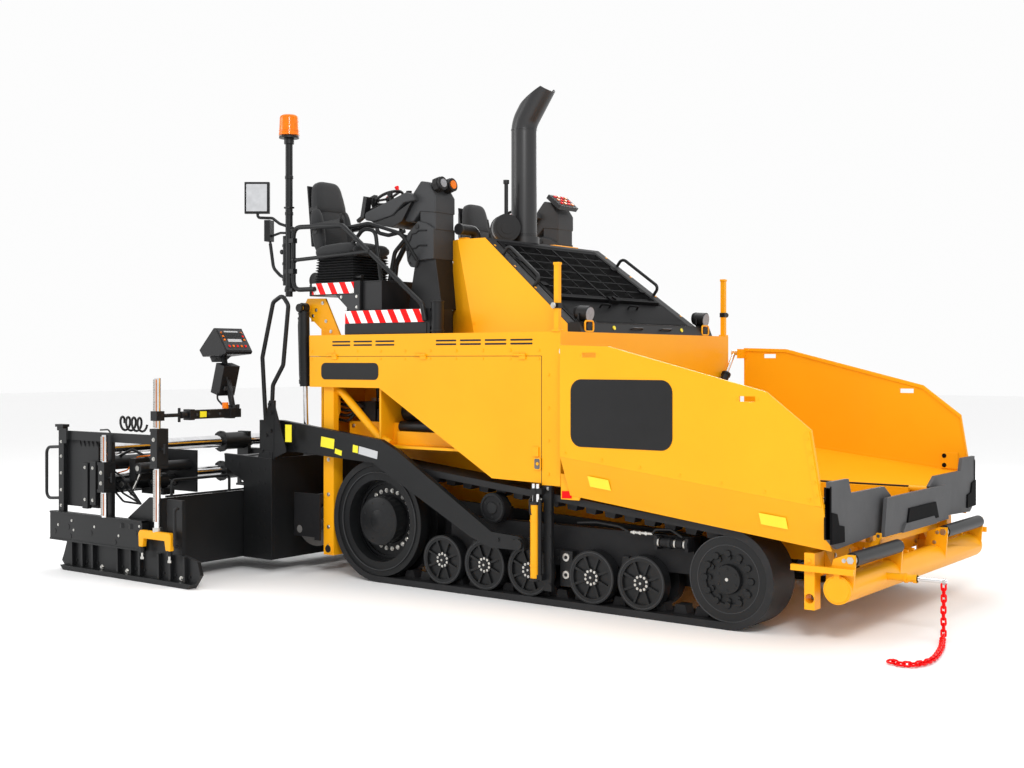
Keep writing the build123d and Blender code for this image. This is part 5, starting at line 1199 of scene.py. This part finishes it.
def extension_drive(dark, bright, orange, y, side):
    """Drive, boxes, screws and third tube of an extension."""
    dark.box(-3330, -3180, y(-40), y(-240), 880, 1020)
    dark.across(-2540, 800, y(-300), y(-420), 70, 28)
    dark.across(-2540, 800, y(-298), y(-288), 54, 28)
    bright.across(-2540, 800, y(-290), y(-284), 20, 6)
    dark.box(-2700, -2400, y(-300), y(-420), 690, 740)
    hoop = ((-260, 700), (-260, 830), (-900, 830), (-900, 700))
    dark.tube([(-2240, y(out), z) for out, z in hoop], 13, 40)
    dark.box(-2930, -2380, y(-640), y(-660), 690, 1060)
    for x, z, radius in ((-2860, 960, 62), (-2700, 780, 54), (-2480, 930, 48)):
        dark.across(x, z, y(-90), y(-640), radius, 28)
        bright.across(x, z, y(-84), y(-92), radius * 0.5, 24)
    dark.box(-2950, -2820, y(-120), y(-420), 700, 840)
    dark.box(-2620, -2540, y(-110), y(-300), 820, 1010)
    dark.tube([(-2860, y(-180), 1010), (-2700, y(-200), 1080), (-2560, y(-260), 1010),
               (-2420, y(-300), 860)], 12, 60, 10)
    orange.tube([(-2840, y(-160), 870), (-2700, y(-150), 900), (-2600, y(-180), 1020),
                 (-2420, y(-200), 1040)], 6, 60, 8)
    bright.rod((-2640, y(-140), 690), (-2510, y(-140), 880), 12, 16)
    for offset in (300, 620, 940, 1260):
        dark.side_plate([(-2122, 112), (-2122, 690), (-2160, 690), (-2160, 112)],
                        y(-offset), y(-offset - 12))
        dark.box(-2740, -2600, y(-offset + 60), y(-offset - 60), 150, 250)
        bright.bolt((-2670, y(-offset), 250), UP, 14, 16)
    third = TUBE_X[side] - 30
    bright.across(third, 915, y(-60), y(-640), 26, 24)
    dark.box(third - 44, third + 44, y(-600), y(-650), 870, 960)
    dark.box(-2100, -2080, y(-80), y(-1430), 706, 722)


def extension_details(side, tag):
    """End gate, height jacks, leads and drive of a screed extension."""
    dark, bright, marks, yellow, leads, orange = sketches(6)

    def y(depth):
        return side * (GATE_Y + depth)

    gate_ribs(dark, bright, y, side)
    height_jacks(dark, bright, marks, orange, y, side)
    gate_fittings(dark, bright, yellow, y, side)
    gate_leads(leads, y)
    extension_drive(dark, bright, orange, y, side)
    for sketch, name, material, bevel in (
            (dark, "extension_fittings", BLACK, 2), (bright, "extension_bolts", BOLT, 0),
            (marks, "jack_scales", STEEL, 0), (orange, "jack_edges", AMBER, 0),
            (yellow, "gate_crank", YELLOW, 7), (leads, "extension_leads", PLASTIC, 0)):
        sketch.make(f"{name}_{tag}", material, f"extension_{tag}", bevel)


def panel_details(side, tag):
    """Display case, keypad, knobs and cables on the extension's control arm."""
    dark, grey, screen, keys, label, red = sketches(6)
    x, z, y0 = JACK_X, 1396, side * 1640
    case_x, case_z = x - 144, z + 604
    dark.block(*([(case_x + px, y0 + out, case_z + pz) for px, pz in
                  ((-150, -52), (40, 140), (62, 140), (206, -66), (190, -88), (-104, -112))]
                 for out in (-152, 152)))

    def slab(sketch, low, high, ya, yb, lift, thick):
        """Plate on the case's front slope: low and high measured down it."""
        down = Vector((144, 0, -206)).normalized()
        out = Vector((206, 0, 144)).normalized()
        start = Vector((case_x + 62, y0, case_z + 140))
        corners = [start + down * along + Vector((0, across, 0))
                   for along, across in rectangle(low, high, ya, yb)]
        sketch.block(*([corner + out * height for corner in corners] for height in (lift, lift + thick)))

    slab(grey, 14, 238, -138, 138, -2, 5)
    slab(screen, 34, 152, -78, 78, 4, 3)
    for column in range(5):
        py = -100 + column * 46
        slab(keys if column % 2 else red, 186, 208, py, py + 20, 4, 6)
    for row in range(3):
        slab(keys, 44 + row * 38, 62 + row * 38, -122, -102, 4, 6)
        slab(red if row == 1 else keys, 44 + row * 38, 62 + row * 38, 102, 122, 4, 6)
    dark.tilted((x - 124, y0, z + 294), (112, 182, 272), 16)
    for row in range(4):
        for column in range(2):
            grey.tilted((x - 66 - row * 17, y0 - 40 + column * 80, z + 214 + row * 56), (10, 46, 36), 16)
    dark.upright(x - 20, y0, z + 20, z + 70, 52, 28)
    for px in (-1, 1):
        dark.upright(x + px * 30, y0 - side * 10, z + 38, z + 76, 15, 20)
    keys.upright(x + 26, y0 + side * 130, z + 42, z + 96, 27, 24)
    for cable, bend in ((((0, 40, 30), (40, 60, 180), (-60, 40, 300), (-140, 0, 480)), 70),
                        (((0, 90, 30), (-90, 120, 120), (-190, 30, 280)), 60)):
        dark.tube([(x + px, y0 + side * py, z + pz) for px, py, pz in cable], 9, bend, 8)
    for py in (2144, 1700):
        dark.box(x - 46, x + 46, side * (py - 26), side * (py + 26), z - 46, z + 46)
    for py in (2090, 1960, 1840):
        grey.bolt((x + 38, side * py, z), TO_FRONT, 9, 7)
    label.box(x + 37, x + 41, side * 2060, side * 1990, z - 24, z + 26)
    dark.across(x, z, side * 2180, side * 2240, 30, 24)
    dark.upright(x, side * 2250, z - 60, z + 60, 12, 16)
    for sketch, name, material, bevel in (
            (dark, "case", PLASTIC, 5), (grey, "face", CHARCOAL, 1), (screen, "screen", WHITE, 1),
            (red, "red_keys", RED, 2), (keys, "keys", AMBER, 2), (label, "label", LABEL, 0)):
        sketch.make(f"console_{name}_{tag}", material, f"extension_{tag}", bevel)


# ---------------------------------------------------------------- operator stations

def soft_block(sketch, centre, size, turn=0.0, power=2.6, bulge=0.0, taper=0.0, rings=14, sides=28):
    """Cushion: a rounded block turned about Y, fuller in the middle of its top."""
    rows = []
    matrix = Matrix.Rotation(math.radians(turn), 3, "Y")
    for i in range(1, rings):
        lift = -math.pi / 2 + math.pi * i / rings
        flat = power_of(math.cos(lift), power)
        row = []
        for angle in circle(sides):
            z = size[2] / 2 * power_of(math.sin(lift), power)
            narrow = 1 - taper * (z / size[2] + 0.5)
            x = size[0] / 2 * flat * power_of(math.cos(angle), power) * narrow
            y = size[1] / 2 * flat * power_of(math.sin(angle), power) * narrow
            if lift > 0:
                z += bulge * (1 - min(1, abs(2 * y / size[1]) ** 2)) * math.sin(lift)
            row.append(Vector(centre) + matrix @ Vector((x, y, z)))
        rows.append(sketch.verts(row))
    sketch.walls(rows)
    sketch.ends(rows)


def power_of(value, power):
    """Sign-keeping root that squares a circle off."""
    return math.copysign(abs(value) ** (2 / power), value)


def seat_details(side, tag):
    """Seat with cushion, bolsters, back, head rest, piping and arm rests."""
    y = side * SEAT_Y
    soft, hard, piping = sketches(3)
    soft_block(soft, (-1180, y, SEAT_BASE + 62), (500, 330, 118), -3, 3.2, 10)
    soft_block(soft, (-950, y, SEAT_BASE + 62), (88, 440, 104), 0, 2.6)
    for offset in (-187, 187):
        soft_block(soft, (-1185, y + offset, SEAT_BASE + 66), (490, 92, 112), -3, 2.8)
    soft_block(soft, (-1432, y, 3000), (118, 360, 430), BACK_LEAN, 3.4)
    for offset in (-172, 172):
        soft_block(soft, (-1424, y + offset, 2995), (124, 84, 400), BACK_LEAN, 2.8)
    soft_block(soft, (-1482, y, 3290), (128, 392, 300), BACK_LEAN, 4.5, 0, 0.26)
    cushion = soft.make(f"seat_cushion_{tag}", CLOTH, replaces=(f"seat_{tag}",))
    hard.side_plate([(-1520, 2860), (-1494, 2860), (-1562, 3400), (-1576, 3400)], y - 165, y + 165)
    hard.box(-1436, -940, y - 200, y + 200, SEAT_BASE, SEAT_BASE + 26)
    for offset in (-236, 236):
        if abs(y + offset) > STATION_Y - 4:     # the outer arm rest stays inside the rail
            offset = math.copysign(214, offset)
        rest_y = y + offset * 0.96
        hard.tilted((-1270, rest_y, 3042), (330, 52, 46), -4)
        hard.side_plate([(-1450, 2960), (-1400, 2960), (-1380, 3040), (-1430, 3040)],
                        rest_y - 12, rest_y + 12)
        hard.upright(-1120, rest_y, 3060, 3120, 13, 16)
    for x in (-1320, -1150):
        piping.tube([(x, y + py, SEAT_BASE + pz) for py, pz in ((-150, 120), (0, 131), (150, 120))],
                    4, 80, 8)
    piping.tube([(-1382, y - 150, 3040), (-1380, y, 3046), (-1382, y + 150, 3040)], 4, 80, 8)
    hard.tilted((-1480, y, 3190), (104, 360, 40), BACK_LEAN)
    hard.make(f"seat_shell_{tag}", PLASTIC, bevel=6)
    piping.make(f"seat_piping_{tag}", CHARCOAL)


def stand_details():
    """Pleated bellows under the seats, with levers."""
    bellows, lever = sketches(2)
    wide, thin = 226, 205
    for index in range(9):
        z = 2536 + index * 23
        x0, x1 = -1428 + index * 4, -952
        for folds in (((thin, z), (wide, z + 11)), ((wide, z + 11), (thin, z + 23))):
            bellows.frustum(*((x0 + wide - half, x1 - (wide - half), -SEAT_Y - half, -SEAT_Y + half, pz)
                              for half, pz in folds))
    lever.box(-990, -900, -1250, -1220, 2560, 2580)
    lever.lengthways(-905, -885, -1235, 2570, 20, 16)
    lever.rod((-925, -900, 2620), (-880, -900, 2640), 14, 12)
    bellows.mirror().make("seat_bellows", RUBBER, bevel=3, replaces=("seat_stands",))
    lever.mirror().make("seat_levers", PLASTIC, bevel=2)


def console_body(column, desk, relief, dark, y):
    """Moulded control column and its desk, with relief lines."""

    def prism(sketch, outline, half):
        sketch.block(*([(x, y + edge, z) for x, z in outline] for edge in (-half, half)))

    column.frustum((-556, -180, y - 132, y + 132, 2284), (-484, -268, y - 116, y + 116, 2720))
    prism(desk, [(-434, 3036), (-551, 2935), (-578, 2850), (-556, 2700), (-522, 2649), (-470, 2642),
                 (-440, 2700), (-262, 2704), (-262, 2965), (-340, 3010)], 146)
    prism(desk, [(-430, 2990), (-430, 3130), (-256, 3116), (-256, 2950)], 122)
    prism(desk, [(-596, 3040), (-500, 3276), (-416, 3371), (-337, 3358), (-250, 3230), (-250, 3092),
                 (-420, 3112), (-500, 3030)], 130)
    prism(desk, [(-1004, 3072), (-1012, 3118), (-993, 3141), (-540, 3280), (-470, 3262), (-434, 3205),
                 (-560, 3190), (-690, 3092), (-900, 3052)], 186)
    prism(dark, [(-960, 3068), (-890, 3030), (-705, 2990), (-590, 3040), (-480, 3200), (-690, 3100)], 170)
    prism(dark, [(-975, 3140), (-975, 3153), (-560, 3281), (-560, 3268)], 160)
    line = ((-546, 2846), (-520, 2872), (-496, 2930), (-450, 2930), (-430, 2952), (-330, 2948))
    for lift in (0, -126):
        for face in (-1, 1):
            relief.tube([(x, y + face * 147, z + lift) for x, z in line], 7, 24, 8)
    for x, z, radius in ((-548, 2800, 18), (-440, 2985, 22), (-520, 2680, 12)):
        for face in (-1, 1):
            dark.across(x, z, y + face * 144, y + face * 153, radius, 20)


def console_controls(dark, lens, red, amber, y):
    """Joysticks, stop knob and rows of lit switches."""
    for px, py in ((-760, -120), (-700, 60), (-740, 120)):
        base_z = 3216 + (px + 740) * DESK_SLOPE
        dark.rod((px, y + py, base_z), (px - 10, y + py, base_z + 60), 11, 16)
        dark.rod((px - 10, y + py, base_z + 54), (px - 12, y + py, base_z + 100), 22, 20, 26)
    red.rod((-690, y - 20, 3228), (-696, y - 20, 3262), 14, 16)
    red.rod((-696, y - 20, 3260), (-700, y - 20, 3288), 30, 24, 26)
    red.rod((-600, y + 120, 3266), (-602, y + 120, 3284), 22, 20)
    for row in range(4):
        for column in range(4):
            px, py = -955 + row * 66, -120 + column * 50
            target = amber if (row + column) % 3 == 0 else lens
            target.box(px, px + 22, y + py - 12, y + py + 12, 3158 + row * 20, 3170 + row * 20)


def console_lamps(dark, lens, amber, y):
    """Two lamps on the right console."""
    for offset, glass in ((-70, lens), (60, amber)):
        dark.rod((-300, y + offset, 3330), (-215, y + offset, 3344), 50, 28, 58)
        dark.rod((-290, y + offset, 3330), (-240, y + offset, 3340), 64, 8)
        glass.rod((-216, y + offset, 3344), (-208, y + offset, 3345), 36, 28)
        dark.box(-340, -262, y + offset - 14, y + offset + 14, 3270, 3350)


def console_keypad(dark, desk, red, amber, y, tilt=40):
    """Tilted keypad on the left console."""
    dark.tilted((-262, y - 40, 3350), (180, 300, 44), tilt)
    desk.tilted((-254, y - 40, 3360), (160, 280, 24), tilt)
    for row in range(3):
        along = -54 + row * 50
        for column in range(4):
            target = amber if (row + column) % 2 else red
            target.tilted((-254 + along * 0.766 + 11, y - 130 + column * 58, 3360 - along * 0.643 + 11),
                          (24, 30, 12), tilt)


def console_cables(dark, y, side):
    """Cable loops behind the console, with the levers and the handle that stand over them."""

    def tube(points, *form):
        """Tube whose points say x, distance outwards from the console, and z."""
        dark.tube([(x, y + side * out, z) for x, out, z in points], *form)

    tube(((-600, -60, 2980), (-720, -70, 2920), (-860, -60, 2700), (-900, -60, 2420), (-930, -60, 2290)),
         24, 110, 14)
    tube(((-620, 60, 2920), (-760, 70, 2790), (-830, 70, 2500), (-860, 70, 2290)), 19, 100, 12)
    for offset in (-150, 160):
        dark.tube([(-900, y + offset, 3060), (-890, y + offset, 2960), (-760, y + offset, 2930),
                   (-600, y + offset * 0.8, 2960)], 17, 60, 12)
    dark.rod((-1010, y - side * 196, 3090), (-1040, y - side * 200, 3230), 9, 12)
    dark.tilted((-1050, y + side * 120, 3190), (44, 70, 190), 12)
    dark.tilted((-1100, y + side * 110, 3110), (130, 34, 30), -30)
    dark.tilted((-1020, y + side * 40, 3240), (60, 44, 120), -18)
    dark.rod((-1010, y + side * 80, 3150), (-940, y + side * 80, 3170), 40, 24)


def console_details(side, tag):
    """Control console with its desk, switches, lamps and cables, and the steering wheel's knob."""
    y = side * CONSOLE_Y
    column, desk, relief, dark, lens, red, amber = sketches(7)
    console_body(column, desk, relief, dark, y)
    console_controls(dark, lens, red, amber, y)
    if side < 0:
        console_lamps(dark, lens, amber, y)
    else:
        console_keypad(dark, desk, red, amber, y)
    console_cables(dark, y, side)
    column.make(f"console_column_{tag}", PLASTIC, bevel=9)
    desk.make(f"console_desk_{tag}", CHARCOAL, bevel=12, replaces=("consoles",))
    relief.make(f"console_relief_{tag}", PLASTIC)
    dark.make(f"console_fittings_{tag}", PLASTIC, bevel=2)
    lens.make(f"console_lenses_{tag}", LENS)
    amber.make(f"console_lights_{tag}", AMBER)
    red.make(f"console_knobs_{tag}", RED, bevel=2)
    wheel_knob(side, tag)


def wheel_knob(side, tag):
    """Hub cap and spinner knob of a steering wheel, about its tilted column."""
    wheel = Sketch()
    low, high = Vector((-830, side * CONSOLE_Y, 3152)), Vector((-885, side * CONSOLE_Y, 3275))
    axis = (high - low).normalized()
    wheel.rod(high + axis * 3, high + axis * 12, 30, 24)
    spot = high + Vector((axis.z, 0, -axis.x)) * 112 + axis * 10
    wheel.rod(spot, spot + axis * 40, 13, 20, 20)
    wheel.make(f"wheel_knob_{tag}", RED, f"steering_wheel_{tag}", bevel=2)


def platform_details():
    """Warning plates, treads, posts and boxes of the operator platforms."""
    dark, tape, grey, bolts = sketches(4)
    face = -STATION_Y
    tape.box(-1034, -145, face - 4, face + 1, 2172, 2278)
    tape.box(-1434, -935, face - 4, face + 1, 2430, 2526)
    dark.box(-1037, -120, face - 6, face + 1, 2079, 2166)
    for x in range(-1020, -319, 50):
        dark.box(x, x + 10, -1280, -740, 2282, 2287)
    dark.upright(-40, -1250, 2330, 2342, 57, 32)
    dark.upright(-40, -1250, 2090, 2106, 58, 32)
    grey.side_plate([(-1150, 2420), (-870, 2420), (-870, 2284), (-985, 2284)], face + 2, face - 3)
    bolts.side_bolts(((-1080, 2400), (-900, 2400), (-900, 2310)), face - 3, -1, 9, 6)
    grey.box(-1020, -700, -1240, -790, 2284, 2300)
    dark.box(-860, -640, -1262, -800, 2284, 2520)
    dark.box(-860, -640, -1262, -800, 2520, 2532)
    dark.tube([(-700, -780, 2290), (-700, -780, 2480), (-640, -780, 2640), (-640, -780, 2870)], 18, 80, 12)
    bolts.side_bolts([(x, 2436) for x in range(-1400, -949, 150)], face - 4.5, -1, 5, 3)
    dark.across(-1470, 2560, -1225, -1165, 70, 28)
    dark.box(-1500, -1437, -1260, -900, 2420, 2520)
    tape.mirror().make("warning_plates", TAPE)
    dark.mirror().make("platform_fittings", PLASTIC, bevel=3)
    grey.mirror().make("platform_plates", CHARCOAL, bevel=2)
    bolts.mirror().make("platform_bolts", BOLT)


def rail_details():
    """Guard rails with their mirrors, clamps, pads and hoops, and the beacon's pole."""
    rails, glass, grey, extra = sketches(4)
    y = -RAIL_Y
    mirror_at = (-1965, y - 135, 3300)
    rails.tube([(-1380, y, 2478), (-1647, y, 2478), (-1647, y, 3030), (-1049, y, 3013), (-150, y, 2316),
                (-120, y, 2180)], 21, 90, 16, 8)
    rails.rod((-1640, y, 2740), (-735, y, 2772), 17, 20)
    rails.tube([(-1640, y, 3020), (-1800, y - 20, 3070), (-1850, y - 60, 3120), (-1965, y - 130, 3125),
                (-1965, y - 130, 3180)], 13, 40, 12)
    for size in ((222, 40, 282), (204, 48, 264)):
        rails.tilted(mirror_at, size, 37, "Z")
    glass.tilted((-1965 + 26 * 0.602, y - 135 - 26 * 0.799, 3300), (182, 6, 242), 37, "Z")
    for x, z in ((-1640, 2740), (-740, 2772), (-1647, 3005)):
        rails.lengthways(x - 16, x + 16, y, z, 26, 20)
    rails.tube([(-1049, y + 30, 2990), (-800, y + 60, 3020), (-500, y + 140, 2920), (-430, y + 260, 2700)],
               16, 120, 12)
    rails.mirror().make("guard_rails", BLACK, bevel=4, replaces=("rails",))
    glass.mirror().make("mirror_glass", MIRROR, bevel=2)
    extra.tilted((-1910, y - 45, 3010), (56, 90, 190), 20, "Z")
    extra.tube([(-1647, y, 2980), (-1800, y - 10, 2990), (-1900, y - 40, 2960), (-1900, y - 40, 2860)],
               11, 40, 10)
    extra.tube([(-1900, y - 40, 2900), (-1880, y - 20, 2680), (-1800, y, 2600), (-1650, y, 2590)],
               15, 90, 12)
    extra.upright(POLE_X, y, 2420, 3830, 32, 32)
    for z in (2620, 2890):
        extra.box(-1738, -1625, y - 26, y + 26, z, z + 45)
    extra.box(-1738, -1640, y - 24, y + 24, 2462, 2494)
    extra.upright(-1742, y, 2520, 2960, 27, 20)
    for z in (2560, 2700, 2860):
        extra.upright(-1742, y, z, z + 26, 33, 20)
    for z in (2480, 3140, 3460):
        extra.upright(POLE_X, y, z, z + 30, 37, 28)
    extra.box(-1740, -1664, y - 30, y + 30, 3200, 3216)
    extra.lengthways(-1766, -1800, y, 2820, 22, 16)
    extra.tube([(-1050, y + 60, 2800), (-880, y + 80, 2980), (-760, y + 100, 2960), (-700, y + 110, 2500),
                (-700, y + 110, 2290)], 17, 90, 12)
    extra.make("rail_fittings", BLACK, bevel=4)
    grey.upright(POLE_X, y, 3820, 3836, 88, 40)
    grey.upright(POLE_X, y, 3770, 3820, 44, 28)
    grey.make("beacon_seat", PLASTIC, bevel=2)


def beacon_details(ribs=36, rib_depth=0.9, rib_top=4000):
    """Amber lens, finely ribbed up to its shoulder, with its collar."""
    lens, collar = sketches(2)
    y = -RAIL_Y
    profile = ((3866, 88), (3930, 85), (rib_top, 82), (4016, 77), (4026, 62))
    for (z0, low), (z1, high) in zip(profile, profile[1:]):
        rings = []
        for z, radius in ((z0, low), (z1, high)):
            sizes = [radius - (rib_depth if i % 2 and z1 <= rib_top else 0) for i in range(ribs * 2)]
            rings.append([(POLE_X + size * math.cos(angle), y + size * math.sin(angle), z)
                          for size, angle in zip(sizes, circle(ribs * 2))])
        lens.block(*rings)
    collar.upright(POLE_X, y, 3846, 3868, 92, 48, 89)
    collar.upright(POLE_X, y, 3884, 3888, 89.5, 48)
    lens.make("beacon_lens", AMBER, replaces=("beacon",))
    collar.make("beacon_collar", AMBER, bevel=1)


def post_details():
    """Caps, clamps and bases of the sight posts; bolts of the rear brackets and legs."""
    yellow, dark, bolts = sketches(3)
    yellow.box(1176, 1224, -1345, -1297, 2576, 2596)
    yellow.box(1168, 1232, -1352, -1290, 2075, 2090)
    dark.box(1174, 1226, -1348, -1296, 2250, 2290)
    dark.across(1200, 2270, -1350, -1378, 12, 16)
    bolts.bolt((1200, -1378, 2270), TO_RIGHT, 16, 10)
    bolts.side_bolts(((-1480, 2300), (-1400, 2360), (-1360, 2200), (-1300, 2110), (-1520, 2250)),
                     -1196, -1, 11, 7)
    dark.across(-1575, 2318, -1302, -1321, 40, 28, 36)
    bolts.side_bolts([(-1225, z) for z in (260, 420, 700, 1000)], -1301, -1, 12, 8)
    yellow.across(-1225, 230, -1300, -1308, 46, 28)
    dark.across(-1225, 230, -1304, -1310, 33, 28)
    yellow.mirror().make("post_fittings", YELLOW, bevel=2)
    dark.mirror().make("post_clamps", PLASTIC, bevel=2)
    bolts.mirror().make("post_bolts", BOLT)


def auger_details(side, tag):
    """Screw flights in place of the frame's discs, with clamps on the shaft."""
    screw, clamps = sketches(2)
    x, z, inner, outer = -1535, 383, 70, 1316
    steps = 150
    turns = (outer - inner) / 250
    rows = []
    for t in (i / steps for i in range(steps + 1)):
        angle = math.tau * turns * t * side
        y = side * (inner + (outer - inner) * t)
        rows.append(screw.verts([(x + radius * math.cos(angle), y + shift, z + radius * math.sin(angle))
                                 for radius, shift in ((50, -5), (173, -5), (173, 5), (50, 5))]))
    screw.walls(rows)
    screw.ends(rows)
    screw.across(x, z, side * 55, side * 1322, 52, 28)
    screw.across(x, z, side * 12, side * 1344, 34, 24)
    for y in (side * out for out in range(160, 1261, 220)):
        clamps.across(x, z, y - 14, y + 14, 60, 28)
        clamps.bolt((x, y, z + 60), UP, 9, 8)
    screw.make(f"auger_screw_{tag}", WORN, f"auger_{tag}", replaces=(f"auger_{tag}",))
    clamps.make(f"auger_clamps_{tag}", BOLT, f"auger_{tag}", bevel=1)


def ram_details(side, tag):
    """Gland rings of a wing cylinder."""
    foot, eye = Vector((1286, side * 880, 1340)), Vector((1286, side * 1370, 1925))
    along = (eye - foot).normalized()
    barrel = Sketch()
    for start, radius, long in ((60, 40, 14), (260, 39, 8), (498, 43, 22)):
        barrel.rod(foot + along * start, foot + along * (start + long), radius, 28)
    barrel.make(f"wing_cylinder_rings_{tag}", BLACK, f"wing_barrel_{tag}", bevel=1)


# ---------------------------------------------------------------- the whole machine

camera()
studio()
chain()
for section in (wheel_details, track_gear, body_sides, hood_details, band_details, exhaust_details,
                centre_apron_details, front_details, hopper_details, bay_details, rear_wall, tow_details,
                arm_details, screed_details, stand_details, platform_details, rail_details, beacon_details,
                post_details):
    section()
for side, tag in PAIR:
    for section in (wing_details, lift_details, extension_details, panel_details, seat_details,
                    console_details, auger_details, ram_details):
        section(side, tag)
